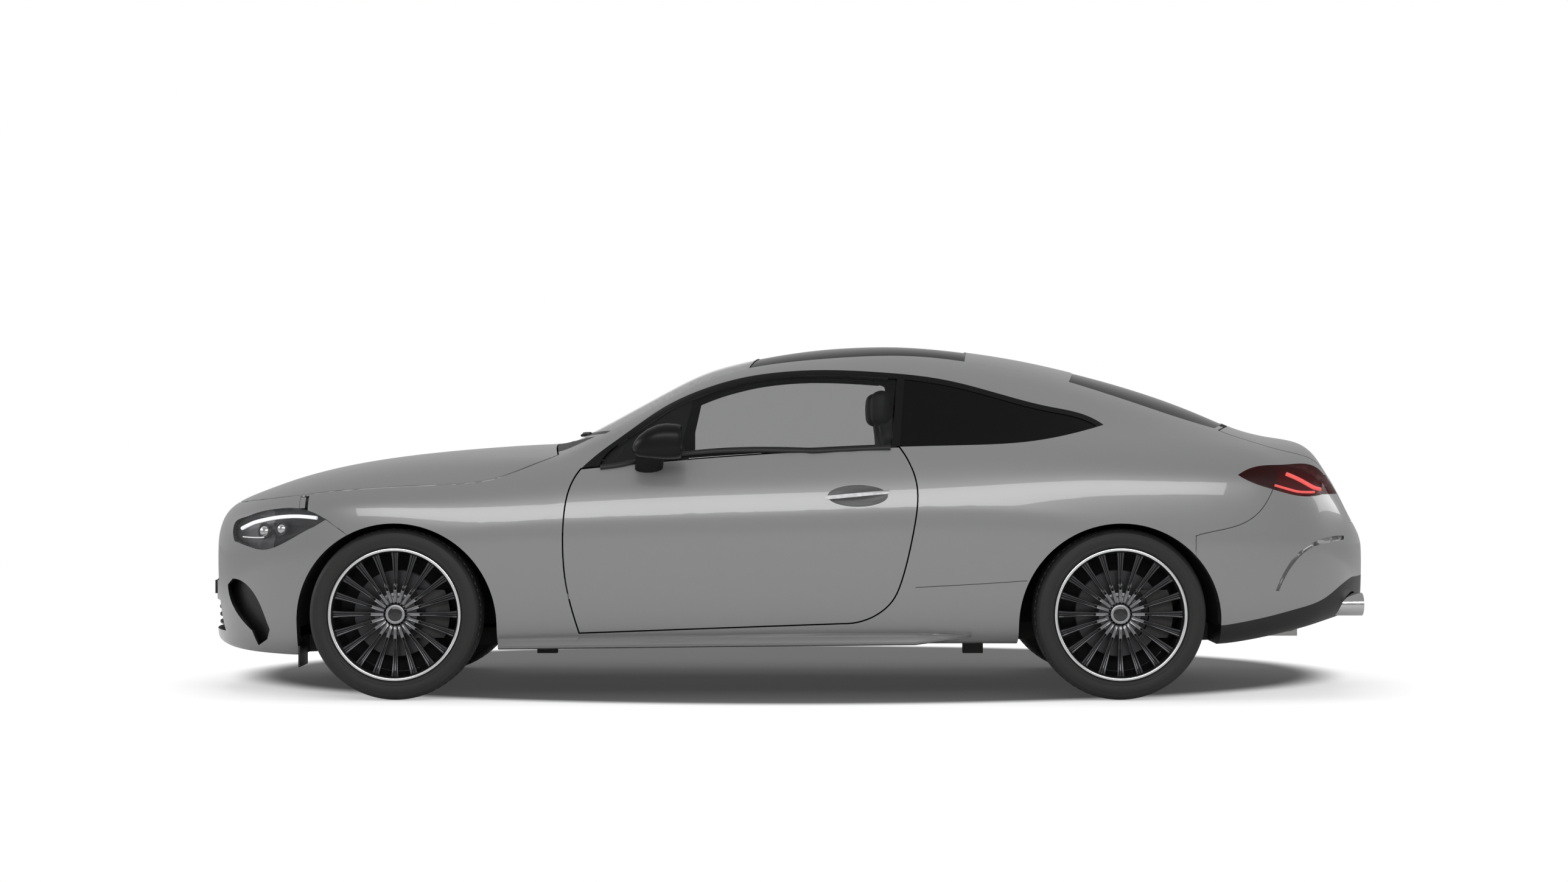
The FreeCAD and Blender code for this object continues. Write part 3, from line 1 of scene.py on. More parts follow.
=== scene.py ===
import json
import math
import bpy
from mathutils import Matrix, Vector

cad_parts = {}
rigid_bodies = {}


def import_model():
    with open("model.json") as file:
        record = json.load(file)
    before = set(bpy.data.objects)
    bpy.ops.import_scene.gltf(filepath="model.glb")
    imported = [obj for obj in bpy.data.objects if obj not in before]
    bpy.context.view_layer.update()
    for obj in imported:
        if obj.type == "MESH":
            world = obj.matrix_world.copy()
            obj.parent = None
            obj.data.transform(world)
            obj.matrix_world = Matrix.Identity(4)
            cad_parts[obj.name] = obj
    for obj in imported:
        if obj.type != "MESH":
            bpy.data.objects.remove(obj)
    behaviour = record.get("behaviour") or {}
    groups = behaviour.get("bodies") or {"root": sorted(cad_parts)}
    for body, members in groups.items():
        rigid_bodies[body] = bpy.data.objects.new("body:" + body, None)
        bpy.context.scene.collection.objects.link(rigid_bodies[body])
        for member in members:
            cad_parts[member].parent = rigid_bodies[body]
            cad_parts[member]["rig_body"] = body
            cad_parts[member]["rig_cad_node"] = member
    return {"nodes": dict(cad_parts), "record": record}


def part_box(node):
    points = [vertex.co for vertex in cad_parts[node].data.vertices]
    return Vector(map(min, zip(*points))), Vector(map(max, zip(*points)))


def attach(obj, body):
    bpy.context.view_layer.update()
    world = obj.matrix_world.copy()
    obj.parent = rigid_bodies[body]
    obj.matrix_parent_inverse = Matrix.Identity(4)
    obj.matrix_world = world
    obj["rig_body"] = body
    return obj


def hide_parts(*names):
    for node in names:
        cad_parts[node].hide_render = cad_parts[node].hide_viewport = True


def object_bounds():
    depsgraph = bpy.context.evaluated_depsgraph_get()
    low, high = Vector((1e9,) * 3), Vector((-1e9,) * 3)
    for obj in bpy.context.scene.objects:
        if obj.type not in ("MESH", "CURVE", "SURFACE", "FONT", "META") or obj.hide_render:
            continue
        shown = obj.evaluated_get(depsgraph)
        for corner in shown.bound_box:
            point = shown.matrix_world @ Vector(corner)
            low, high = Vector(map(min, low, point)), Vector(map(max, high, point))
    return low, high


bl_info = {
    "name": "Coupe Car",
    "version": (1, 0, 0),
    "blender": (4, 5, 0),
    "location": "View3D > Sidebar > Coupe",
    "description": "Dresses the coupe's panels, glass, wheels, lamps and cabin",
    "category": "Add Mesh",
}

import bmesh
import bpy
import numpy as np
from mathutils import Matrix, Vector
from mathutils.bvhtree import BVHTree

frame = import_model()
NODES = frame["nodes"]
BODY_OF = {node: body for body, nodes in frame["record"]["behaviour"]["bodies"].items() for node in nodes}
SLOT_OF = {part["node"]: part["material_slot"] for part in frame["record"]["subparts"]}
CAD_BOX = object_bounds()


# Sizes and colours that a user would change
class PaintSettings(bpy.types.PropertyGroup):
    colour: bpy.props.FloatVectorProperty(
        name="Paint colour", description="Colour of the painted panels", subtype="COLOR", size=3,
        default=(0.285, 0.285, 0.289), min=0, max=1)
    gloss: bpy.props.FloatProperty(
        name="Clear coat", description="Strength of the clear coat over the paint", default=1.0, min=0, max=1,
        subtype="FACTOR")
    glass_tint: bpy.props.FloatProperty(
        name="Front glass tint", description="How dark the windscreen and door glass are", default=0.3, min=0,
        max=1, subtype="FACTOR")
    rear_tint: bpy.props.FloatProperty(
        name="Rear glass tint", description="How dark the rear side, rear and roof glass are", default=0.95,
        min=0, max=1, subtype="FACTOR")


class WheelSettings(bpy.types.PropertyGroup):
    spokes: bpy.props.IntProperty(
        name="Spokes", description="Number of spokes in a rim", default=20, min=5, max=40)


class StageSettings(bpy.types.PropertyGroup):
    camera_distance: bpy.props.FloatProperty(
        name="Camera distance", description="From the car's middle plane to the camera", default=12.95,
        unit="LENGTH")
    camera_height: bpy.props.FloatProperty(
        name="Camera height", description="Height of the camera over the ground", default=1.024,
        unit="LENGTH")
    lens: bpy.props.FloatProperty(
        name="Lens", description="Focal length on a 36 mm wide sensor", default=70.2, unit="CAMERA")


def settings():
    return bpy.context.scene.coupe_paint, bpy.context.scene.coupe_wheels, bpy.context.scene.coupe_stage


# Small tools for modelling by hand
def pick(*objects):
    """Select these objects alone, the last one active."""
    bpy.ops.object.select_all(action="DESELECT")
    for item in objects:
        item.select_set(True)
    bpy.context.view_layer.objects.active = objects[-1]


def active():
    return bpy.context.view_layer.objects.active


def copy_of(item):
    pick(item)
    bpy.ops.object.duplicate()
    return active()


def apply_modifier(item, kind, **values):
    """Add a modifier to an object and apply it."""
    pick(item)
    bpy.ops.object.modifier_add(type=kind)
    modifier = item.modifiers[-1]
    for name, value in values.items():
        setattr(modifier, name, value)
    bpy.ops.object.modifier_apply(modifier=modifier.name)


def settle(item):
    """Put the object's place into its mesh."""
    pick(item)
    bpy.ops.object.transform_apply(location=True, rotation=True, scale=True)


def seat(item, name, body="shell", slot="black_trim", *replaced):
    """Name a finished piece, let it ride on its body and stand for the solids it replaces."""
    settle(item)
    item.name = name
    item.data.name = name
    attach(item, body)
    if replaced:
        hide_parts(*replaced)
    return item


def stand_for(item, node, ending):
    """Put a piece in place of one solid, on its body."""
    return seat(item, node + ending, BODY_OF[node], SLOT_OF[node], node)


def edit_mesh(item, *steps, chosen=None):
    """Run mesh operators, each with its values, on all faces or on those that a test chooses."""
    pick(item)
    bpy.ops.object.mode_set(mode="EDIT")
    bpy.ops.mesh.select_all(action="DESELECT" if chosen else "SELECT")
    if chosen:
        mesh = bmesh.from_edit_mesh(item.data)
        for face in mesh.faces:
            if chosen(face):
                face.select_set(True)
        bmesh.update_edit_mesh(item.data)
    for step, values in steps:
        step(**values)
    bpy.ops.object.mode_set(mode="OBJECT")


def outward(item):
    """Merge doubled points and turn all faces outward."""
    edit_mesh(item, (bpy.ops.mesh.remove_doubles, {"threshold": 0.00001}),
              (bpy.ops.mesh.normals_make_consistent, {"inside": False}))


def paint_with(item, *materials):
    item.data.materials.clear()
    for material in materials:
        item.data.materials.append(material)


def dress(item, degrees, *materials):
    """Shade a piece smooth up to an angle between faces, and give it its finishes."""
    pick(item)
    bpy.ops.object.shade_smooth_by_angle(angle=math.radians(degrees))
    paint_with(item, *materials)
    return item


def join(items):
    pick(*items)
    bpy.ops.object.join()
    return active()


def new_mesh_object(name, points, faces, edges=()):
    mesh = bpy.data.meshes.new(name)
    mesh.from_pydata(points, edges, faces)
    mesh.update()
    item = bpy.data.objects.new(name, mesh)
    bpy.context.scene.collection.objects.link(item)
    return item


# Finishes
def shader_of(material):
    return material.node_tree.nodes["Principled BSDF"]


def finish(name, colour, roughness, metallic=0.0, **sockets):
    """A material with its plain values set on the shader's own sockets."""
    material = bpy.data.materials.new(name)
    material.use_nodes = True
    plain = {"Base_Color": (*colour, 1), "Roughness": roughness, "Metallic": metallic, **sockets}
    for socket, value in plain.items():
        shader_of(material).inputs[socket.replace("_", " ")].default_value = value
    return material


def add_node(tree, kind, inputs, **values):
    """Add a shader node. Each of its inputs takes a plain value or another node's output."""
    node = tree.nodes.new("ShaderNode" + kind)
    for name, value in values.items():
        setattr(node, name, value)
    for socket, value in inputs.items():
        if isinstance(value, bpy.types.NodeSocket):
            tree.links.new(value, node.inputs[socket])
        else:
            node.inputs[socket].default_value = value
    return node


def texture(material, kind, scale, stretch=(1, 1, 1), **values):
    """A procedural texture on the object's own coordinates."""
    tree = material.node_tree
    place = add_node(tree, "TexCoord", {}).outputs["Object"]
    mapping = add_node(tree, "Mapping", {"Vector": place, "Scale": stretch})
    return add_node(tree, kind, {"Vector": mapping.outputs["Vector"], "Scale": scale, **values})


def noise(material, scale, detail, stretch=(1, 1, 1)):
    """A cloudy pattern."""
    return texture(material, "TexNoise", scale, stretch, Detail=detail).outputs["Fac"]


def cells(material, scale):
    """A pattern of small cells."""
    return texture(material, "TexVoronoi", scale).outputs["Distance"]


def spread(material, factor, low, high):
    """Carry a pattern's 0 to 1 into a narrow range."""
    node = add_node(material.node_tree, "MapRange", {"Value": factor, "To Min": low, "To Max": high})
    return node.outputs["Result"]


def feed(material, output, socket):
    """Lead a node's output into one of the shader's sockets."""
    material.node_tree.links.new(output, shader_of(material).inputs[socket])


def tint(material, factor, first, second):
    """Blend two colours by a pattern, into the base colour."""
    mix = add_node(material.node_tree, "Mix", {0: factor, 6: (*first, 1), 7: (*second, 1)}, data_type="RGBA")
    feed(material, mix.outputs[2], "Base Color")


def bump(material, height, strength, distance):
    inputs = {"Height": height, "Strength": strength, "Distance": distance}
    node = add_node(material.node_tree, "Bump", inputs)
    feed(material, node.outputs["Normal"], "Normal")


def roughen(material, factor, low, high):
    feed(material, spread(material, factor, low, high), "Roughness")


def silver_paint(name):
    """Plain silver-grey metallic lacquer: a fine flake under a clear coat."""
    paint = settings()[0]
    material = finish(name, paint.colour, 0.34, 0.35, Coat_Weight=paint.gloss, Coat_Roughness=0.03,
                      Coat_IOR=1.5)
    darker, lighter = [[c * by for c in paint.colour] for by in (0.94, 1.06)]
    tint(material, cells(material, 2600), darker, lighter)
    roughen(material, noise(material, 900, 2), 0.3, 0.4)
    return material


def grained_plastic(name, colour, roughness):
    """Moulded plastic with a fine leather-like grain."""
    material = finish(name, colour, roughness)
    bump(material, cells(material, 700), 0.5, 0.00025)
    cloud = noise(material, 12, 4)
    tint(material, cloud, [c * 0.85 for c in colour], [c * 1.2 for c in colour])
    roughen(material, cloud, roughness - 0.06, roughness + 0.08)
    return material


def lacquered_black(name):
    """Black lacquer over smooth trim."""
    material = finish(name, (0.005, 0.005, 0.0055), 0.3, Specular_IOR_Level=0.22)
    roughen(material, noise(material, 40, 2), 0.24, 0.36)
    return material


def tinted_glass(name, tint_share, colour=(0.01, 0.011, 0.011), shine=0.5):
    """Window or lamp glass: a body colour, see-through by its tint, with a sharp face."""
    material = finish(name, colour, 0.02, Alpha=tint_share, IOR=1.52, Specular_IOR_Level=shine)
    roughen(material, noise(material, 3, 1), 0.01, 0.03)
    return material


def cast_iron(name):
    """Bare cast metal, gritty and unevenly dark."""
    material = finish(name, (0.05, 0.05, 0.052), 0.55, 0.75)
    bump(material, noise(material, 420, 6), 0.4, 0.0006)
    tint(material, noise(material, 14, 4), (0.035, 0.033, 0.032), (0.085, 0.083, 0.082))
    return material


def underseal(name):
    """Sprayed underbody coating: matt black and finely pebbled."""
    material = finish(name, (0.012, 0.012, 0.012), 0.85)
    bump(material, noise(material, 260, 5), 0.6, 0.0012)
    tint(material, noise(material, 6, 5), (0.008, 0.008, 0.008), (0.022, 0.021, 0.02))
    return material


def liner_felt(name):
    """Black felt of pressed fibres."""
    material = finish(name, (0.006, 0.006, 0.006), 0.95)
    bump(material, noise(material, 700, 6), 0.7, 0.0008)
    return material


def brushed(name, colour, roughness):
    """Metal with fine turning marks."""
    material = finish(name, colour, roughness, 1.0)
    marks = noise(material, 60, 4, (1, 60, 1))
    roughen(material, marks, roughness * 0.7, roughness * 1.4)
    bump(material, marks, 0.12, 0.0002)
    return material


def cabin_leather(name):
    """Dark grained leather, also for the stitching on it."""
    material = finish(name, (0.035, 0.034, 0.034), 0.42)
    bump(material, cells(material, 420), 0.35, 0.0005)
    tint(material, noise(material, 9, 4), (0.028, 0.027, 0.027), (0.05, 0.049, 0.048))
    return material


def tyre_rubber(name):
    """Black rubber with a little road dust."""
    material = finish(name, (0.012, 0.012, 0.012), 0.62)
    dust = noise(material, 30, 6)
    tint(material, dust, (0.009, 0.009, 0.009), (0.022, 0.0215, 0.021))
    roughen(material, dust, 0.52, 0.72)
    bump(material, noise(material, 900, 3), 0.25, 0.0003)
    return material


def disc_steel(name):
    """Plain ground steel of the brake discs, its grey darkened with painted shade from inside the wheel."""
    material = finish(name, (0.085, 0.085, 0.09), 0.42, 0.9)
    roughen(material, noise(material, 300, 4), 0.28, 0.5)
    return material


def rim_black(name):
    """Gloss black wheel lacquer."""
    material = finish(name, (0.01, 0.01, 0.0105), 0.16, Coat_Weight=0.7, Coat_Roughness=0.04)
    roughen(material, noise(material, 120, 3), 0.12, 0.22)
    return material


def glow(name, colour, strength):
    """A lit light guide: a pale body that shines a little, mottled along its length."""
    material = finish(name, colour, 0.3)
    shader_of(material).inputs["Emission Color"].default_value = (*colour, 1)
    level = spread(material, noise(material, 60, 1), strength * 0.85, strength * 1.15)
    feed(material, level, "Emission Strength")
    return material


FINISHES = {}


def shared(name, make, *values):
    """Each finish is made once, under its own name, and shared."""
    if name not in FINISHES:
        FINISHES[name] = make(name, *values)
    return FINISHES[name]


def black_trim():
    return shared("black_trim", grained_plastic, (0.008, 0.008, 0.008), 0.42)


def gloss_black():
    return shared("gloss_black_trim", lacquered_black)


# The body's outer skin, drawn again in millimetres, so that panels shade as one smooth surface.
# Its guides, each (station, value)
PLAN = [
    (-2382, 150), (-2376, 235), (-2362, 325), (-2340, 412), (-2310, 500), (-2270, 585), (-2210, 670),
    (-2130, 745), (-2040, 805), (-1950, 852), (-1830, 893), (-1700, 912), (-1555, 922), (-1150, 912),
    (-900, 903), (0, 900), (440, 903), (900, 918), (1310, 930), (1600, 922), (1800, 902), (1960, 872),
    (2080, 831), (2170, 775), (2235, 705), (2285, 610), (2325, 490), (2355, 350), (2370, 225), (2375, 150),
]
CENTRE_LINE = [
    (-2382, 600), (-2376, 650), (-2346, 722), (-2300, 768), (-2210, 809), (-2110, 845), (-1995, 884),
    (-1815, 928), (-1640, 957), (-1450, 979), (-1250, 996), (-1050, 1009), (-930, 1014), (-890, 1030),
    (-600, 1186), (-312, 1328), (-119, 1371), (2, 1395), (238, 1420), (413, 1424), (680, 1405),
    (899, 1376), (1200, 1313), (1523, 1220), (1760, 1126), (1832, 1088), (1885, 1070), (1980, 1046),
    (2080, 1030), (2124, 1012), (2160, 952), (2196, 900), (2270, 752), (2330, 676), (2362, 628), (2375, 590),
]
CREASE = [
    (-2382, 460), (-2346, 515), (-2288, 555), (-2200, 595), (-2090, 628), (-1950, 652), (-1555, 672),
    (-1319, 678), (-949, 702), (-710, 711), (0, 733), (633, 753), (955, 742), (1129, 718), (1310, 706),
    (1600, 700), (1850, 690), (2000, 676), (2120, 655), (2225, 620), (2312, 570), (2362, 520), (2375, 470),
]
CREASE_SPREAD = [
    (-2382, 30), (-1800, 60), (-1400, 26), (-1200, 16), (900, 16), (1150, 30), (1500, 60), (2375, 30),
]
BOTTOM_LINE = [
    (-2382, 216), (-2330, 197), (-2240, 178), (-2120, 168), (-1950, 163), (-1750, 180), (-1150, 193),
    (900, 215), (1700, 210), (1800, 222), (2034, 268), (2200, 312), (2300, 338), (2375, 355),
]
# Rows of the cabin's upper side, each (station, half-width, height)
SHOULDER_ROW = [
    (-900, 874, 822), (-600, 872, 838), (0, 872, 855), (440, 874, 870), (900, 890, 886), (1310, 905, 896),
    (1600, 898, 894), (1850, 876, 884),
]
BELT_ROW = [
    (-900, 818, 905), (-600, 812, 928), (-300, 810, 948), (0, 810, 962), (440, 812, 986), (900, 822, 1008),
    (1310, 835, 1000), (1600, 830, 985), (1850, 808, 965),
]
GLASS_FOOT_ROW = [
    (-900, 780, 938), (-600, 784, 955), (-300, 780, 975), (0, 778, 992), (440, 778, 1014), (900, 784, 1036),
    (1310, 765, 1056), (1600, 752, 1030), (1850, 732, 1000),
]
CANT_ROW = [
    (-900, 735, 962), (-600, 722, 1055), (-300, 652, 1205), (0, 630, 1262), (440, 626, 1284),
    (900, 640, 1226), (1310, 660, 1134), (1600, 655, 1072), (1850, 640, 1026),
]
RAIL_ROW = [
    (-900, 640, 985), (-600, 672, 1130), (-300, 590, 1282), (0, 566, 1342), (440, 560, 1368),
    (900, 560, 1312), (1310, 556, 1208), (1600, 545, 1118), (1850, 530, 1050),
]
CROWN_ROW = [
    (-900, 350, 1020), (-600, 360, 1172), (-300, 330, 1326), (0, 310, 1392), (440, 310, 1423),
    (900, 310, 1372), (1310, 300, 1270), (1600, 290, 1180), (1850, 280, 1078),
]
CABIN_ROWS = [SHOULDER_ROW, BELT_ROW, GLASS_FOOT_ROW, CANT_ROW, RAIL_ROW, CROWN_ROW]
# How far round the soft shoulder each of those rows lies ahead of and behind the cabin
SHOULDER_SHARES = [0.975, 0.925, 0.855, 0.745, 0.58, 0.31]
SHOULDER_POWER = 4.0
# Lower rows: tuck under the widest line, and share of the height up to the crease
LOWER_ROWS = [(190, 0.0), (85, 0.012), (38, 0.2), (12, 0.55)]
# The tuck over the widest line, and the half-width from which all tucks are full
UPPER_TUCK, FULL_TUCK = 5, 800
CABIN_FRONT, CABIN_REAR = -900, 1850
FLOW_FRONT, FLOW_REAR = -1500, 2080

SKIN_STATIONS = [
    -2382, -2381, -2377, -2365, -2342, -2308, -2262, -2200, -2128, -2045, -1950, -1830, -1700, -1565,
    -1430, -1300, -1180, -1080, -1000, -945, -900, -850, -770, -670, -560, -450, -340, -230, -110, 20,
    160, 300, 440, 580, 720, 860, 1000, 1140, 1280, 1420, 1550, 1660, 1750, 1820, 1870, 1925, 1985, 2040,
    2080, 2110, 2138, 2168, 2200, 2235, 2272, 2308, 2340, 2361, 2372, 2375,
]


def eased(knots, x):
    """A smooth curve through (x, value) knots that never swings past them."""
    if x <= knots[0][0]:
        return knots[0][1]
    if x >= knots[-1][0]:
        return knots[-1][1]
    count = len(knots)
    steps = [knots[i + 1][0] - knots[i][0] for i in range(count - 1)]
    slopes = [(knots[i + 1][1] - knots[i][1]) / steps[i] for i in range(count - 1)]
    tangents = [slopes[0]]
    for i in range(1, count - 1):
        before, after = slopes[i - 1], slopes[i]
        if before * after <= 0:
            tangents.append(0)
            continue
        w1 = 2 * steps[i] + steps[i - 1]
        w2 = steps[i] + 2 * steps[i - 1]
        tangents.append((w1 + w2) / (w1 / before + w2 / after))
    tangents.append(slopes[-1])
    i = max(k for k in range(count - 1) if knots[k][0] <= x)
    t = (x - knots[i][0]) / steps[i]
    rise = steps[i]
    return (
        knots[i][1] * (1 + 2 * t) * (1 - t) ** 2
        + tangents[i] * rise * t * (1 - t) ** 2
        + knots[i + 1][1] * t * t * (3 - 2 * t)
        + tangents[i + 1] * rise * t * t * (t - 1)
    )


def shoulder_point(x, share):
    """A point on the soft shoulder that joins the crease to the centre line, as (half-width, height)."""
    reach = eased(PLAN, x)
    start = eased(CREASE, x) + eased(CREASE_SPREAD, x)
    rise = eased(CENTRE_LINE, x) - start
    return reach * share, start + rise * math.sqrt(1 - share ** SHOULDER_POWER)


def row_point(row, x, share):
    """A cabin row at a station, run out smoothly into the shoulder ahead of and behind the cabin."""
    soft_y, soft_z = shoulder_point(x, share)
    if x <= FLOW_FRONT or x >= FLOW_REAR:
        return soft_y, soft_z
    inside = min(max(x, CABIN_FRONT), CABIN_REAR)
    y = eased([(a, b) for a, b, _ in row], inside)
    z = eased([(a, c) for a, _, c in row], inside)
    if x == inside:
        return y, z
    edge_y, edge_z = shoulder_point(inside, share)
    far = FLOW_FRONT if x < CABIN_FRONT else FLOW_REAR
    fade = (far - x) / (far - inside)
    fade = fade * fade * (3 - 2 * fade)
    return soft_y + (y - edge_y) * fade, soft_z + (z - edge_z) * fade


def section(x):
    """Poles of the outer skin's left half at a station, from the bottom edge up to the roof's middle."""
    reach = eased(PLAN, x)
    bottom = eased(BOTTOM_LINE, x)
    crease = eased(CREASE, x)
    spread = eased(CREASE_SPREAD, x)
    tuck_share = min(1.0, reach / FULL_TUCK)
    poles = [(reach - tuck * tuck_share, bottom + (crease - bottom) * share) for tuck, share in LOWER_ROWS]
    poles.append((reach, crease - spread))
    poles.append((reach - UPPER_TUCK * tuck_share, crease + spread))
    poles += [row_point(row, x, share) for row, share in zip(CABIN_ROWS, SHOULDER_SHARES)]
    poles.append((0, eased(CENTRE_LINE, x)))
    return poles


def spline_weights(count, samples):
    """Weight of each pole of a clamped cubic at evenly spaced places."""
    knots = np.array([0] * 3 + list(range(count - 2)) + [count - 3] * 3, float)
    places = np.linspace(0, count - 3, samples)
    places[-1] -= 1e-9
    weights = [np.where((knots[i] <= places) & (places < knots[i + 1]), 1.0, 0.0) for i in range(count + 3)]
    for degree in (1, 2, 3):
        raised = []
        for i in range(count + 3 - degree):
            total = np.zeros(samples)
            if knots[i + degree] > knots[i]:
                total += (places - knots[i]) / (knots[i + degree] - knots[i]) * weights[i]
            if knots[i + degree + 1] > knots[i + 1]:
                span = knots[i + degree + 1] - knots[i + 1]
                total += (knots[i + degree + 1] - places) / span * weights[i + 1]
            raised.append(total)
        weights = raised
    return np.array(weights).T


def skin_points(along_steps, round_steps):
    """A grid of points on the skin's left half, in metres."""
    net = np.array([[(x, -y, z) for y, z in section(x)] for x in SKIN_STATIONS], float) / 1000
    long_weights = spline_weights(len(SKIN_STATIONS), along_steps)
    round_weights = spline_weights(net.shape[1], round_steps)
    return np.einsum("ai,ijk,bj->abk", long_weights, net, round_weights)


def grid_faces(rows, wide):
    """Faces between rows of points, each row as long as the others."""
    starts = [i * wide + j for i in range(rows - 1) for j in range(wide - 1)]
    return [(a, a + 1, a + wide + 1, a + wide) for a in starts]


SKIN_STEPS = (400, 110)
CAR_MIDDLE = Vector((0, 0, 0.6))


def skin_and_tree(context):
    """The whole outer skin as one smooth shell, to lend its shading, and a search tree over its faces."""
    grid = skin_points(*SKIN_STEPS)
    right = grid[:, ::-1] * (1, -1, 1)
    whole = np.concatenate([grid, right[:, 1:]], axis=1)
    faces = grid_faces(*whole.shape[:2])
    skin = new_mesh_object("outer_skin", whole.reshape(-1, 3).tolist(), faces)
    middle = skin.data.polygons[len(faces) // 2]
    if middle.normal.dot(middle.center - CAR_MIDDLE) < 0:
        edit_mesh(skin, (bpy.ops.mesh.flip_normals, {}))
    pick(skin)
    bpy.ops.object.shade_smooth()
    return skin, BVHTree.FromObject(skin, context.evaluated_depsgraph_get())


PAINTED = ["bonnet", "boot_lid", "roof_panel", "front_bumper", "rear_bumper", "front_wings", "door_left",
           "door_right", "side_frame_left", "side_frame_right"]
GLAZED = ["windscreen", "roof_glass", "rear_window", "quarter_windows", "door_glass_left", "door_glass_right"]
TRIMMED = ["rear_valance", "window_trims", "scuttle"]


def node_copy(node):
    """A copy of a solid with its loose triangles merged."""
    item = copy_of(NODES[node])
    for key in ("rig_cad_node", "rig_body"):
        if key in item:
            del item[key]
    item.parent = None
    edit_mesh(item, (bpy.ops.mesh.remove_doubles, {"threshold": 0.00002}))
    bpy.ops.object.shade_smooth()
    return item


# How near to the skin a face lies, and how nearly it faces the same way, to take the skin's shading
PANEL_REACH, GLASS_REACH, SAME_WAY = 0.0051, 0.008, 0.9
SPLIT_ANGLE = math.radians(28)


def lend_shading(item, skin, tree, reach=PANEL_REACH):
    """Give the faces that lie on the outer skin the skin's own smooth normals."""
    apply_modifier(item, "EDGE_SPLIT", split_angle=SPLIT_ANGLE)
    on_skin = set()
    for face in item.data.polygons:
        _, normal, _, away = tree.find_nearest(face.center)
        if away < reach and normal.dot(face.normal) > SAME_WAY:
            on_skin.update(face.vertices)
    group = item.vertex_groups.new(name="outer")
    group.add(sorted(on_skin), 1.0, "REPLACE")
    apply_modifier(item, "DATA_TRANSFER", object=skin, use_loop_data=True, data_types_loops={"CUSTOM_NORMAL"},
                   loop_mapping="POLYINTERP_NEAREST", vertex_group="outer")
    item.vertex_groups.clear()


# Places on the side where paint reaches deeper than one layer: ((x, z), (x, z)), the depth, and for the scoop
# the least distance from the car's middle
SKIN_LAYER = 0.0105
LAMP_CORNER, LAMP_CORNER_DEPTH = ((-2.0, 0.72), (-1.86, math.inf)), 0.06
SCOOP_BOX, SCOOP_DEPTH, SCOOP_SIDE = ((1.9, 0.4), (2.26, 0.67)), 0.03, 0.6
HANDLE_BOX, HANDLE_DEPTH = ((0.13, 0.76), (0.41, 0.865)), 0.045
# The handle's painted highlight, a bright band, from end to end, its half height, and the depths between
# which it lies
HANDLE_HIGHLIGHT, HIGHLIGHT_HALF, HIGHLIGHT_DEPTHS = ((0.15, 0.8), (0.39, 0.824)), 0.009, (0.001, 0.012)
PAINT, LINING, HIGHLIGHT = 0, 1, 2


def within(box, x, z):
    return box[0][0] < x < box[1][0] and box[0][1] < z < box[1][1]


def line_inside(item, tree):
    """Paint on the skin, lining behind it, and a painted highlight as a bright band on the door handle."""
    (highlight_x0, highlight_z0), (highlight_x1, highlight_z1) = HANDLE_HIGHLIGHT
    for face in item.data.polygons:
        spot, normal, _, _ = tree.find_nearest(face.center)
        below = (spot - face.center).dot(normal)
        x, y, z = face.center
        index = LINING if below > SKIN_LAYER else PAINT
        if within(LAMP_CORNER, x, z) and below < LAMP_CORNER_DEPTH:
            index = PAINT
        if within(SCOOP_BOX, x, z) and below < SCOOP_DEPTH and abs(y) > SCOOP_SIDE:
            index = PAINT
        if within(HANDLE_BOX, x, z) and below < HANDLE_DEPTH:
            highlight_z = highlight_z0 + (highlight_z1 - highlight_z0) * (x - highlight_x0) / (highlight_x1 - highlight_x0)
            on_highlight = abs(z - highlight_z) < HIGHLIGHT_HALF and below < HIGHLIGHT_DEPTHS[1] and abs(below) > HIGHLIGHT_DEPTHS[0]
            index = HIGHLIGHT if on_highlight else PAINT
        face.material_index = index


class COUPE_OT_panels(bpy.types.Operator):
    """Painted panels, glass and trims, shaded as parts of one skin"""
    bl_idname = "coupe.panels"
    bl_label = "Panels and glass"

    def execute(self, context):
        skin, tree = skin_and_tree(context)
        paint = shared("silver_paint", silver_paint)
        # A bright metal band on the door handle: painted highlight
        bright = shared("handle_bar", brushed, (0.34, 0.34, 0.345), 0.35)
        lining = shared("cabin_lining", grained_plastic, (0.03, 0.03, 0.031), 0.7)
        front_glass = shared("front_glass", tinted_glass, settings()[0].glass_tint)
        dark_glass = shared("dark_glass", tinted_glass, settings()[0].rear_tint, (0.006, 0.006, 0.0065), 0.12)
        for node in PAINTED + GLAZED + TRIMMED:
            item = node_copy(node)
            if node in PAINTED:
                lend_shading(item, skin, tree)
                paint_with(item, paint, lining, bright)
                line_inside(item, tree)
            elif node in GLAZED:
                lend_shading(item, skin, tree, GLASS_REACH)
                clear = node in ("windscreen", "door_glass_left", "door_glass_right")
                paint_with(item, front_glass if clear else dark_glass)
            else:
                lend_shading(item, skin, tree)
                paint_with(item, gloss_black() if node == "window_trims" else black_trim())
            stand_for(item, node, "_panel")
        bpy.data.objects.remove(skin)
        return {"FINISHED"}


# Wheels are drawn round the origin with the axle along Y and the street side at negative Y
def spun(name, profile, steps=96):
    """Turn a profile of (radius, place along the axle) round the axle."""
    points = [(radius, place, 0) for radius, place in profile]
    item = new_mesh_object(name, points, [], [(i, i + 1) for i in range(len(points) - 1)])
    turn = {"steps": steps, "angle": 2 * math.pi, "center": (0, 0, 0), "axis": (0, 1, 0)}
    edit_mesh(item, (bpy.ops.mesh.spin, turn))
    outward(item)
    return item


def lofted(name, rings):
    """A closed skin through rings that have the same number of points."""
    count = len(rings[0])
    points = [point for ring in rings for point in ring]
    faces = []
    for i in range(len(rings) - 1):
        for j in range(count):
            a, b = i * count + j, i * count + (j + 1) % count
            faces.append((a, b, b + count, a + count))
    faces.append(tuple(range(count)))
    faces.append(tuple(range(len(points) - count, len(points))))
    item = new_mesh_object(name, points, faces)
    outward(item)
    return item


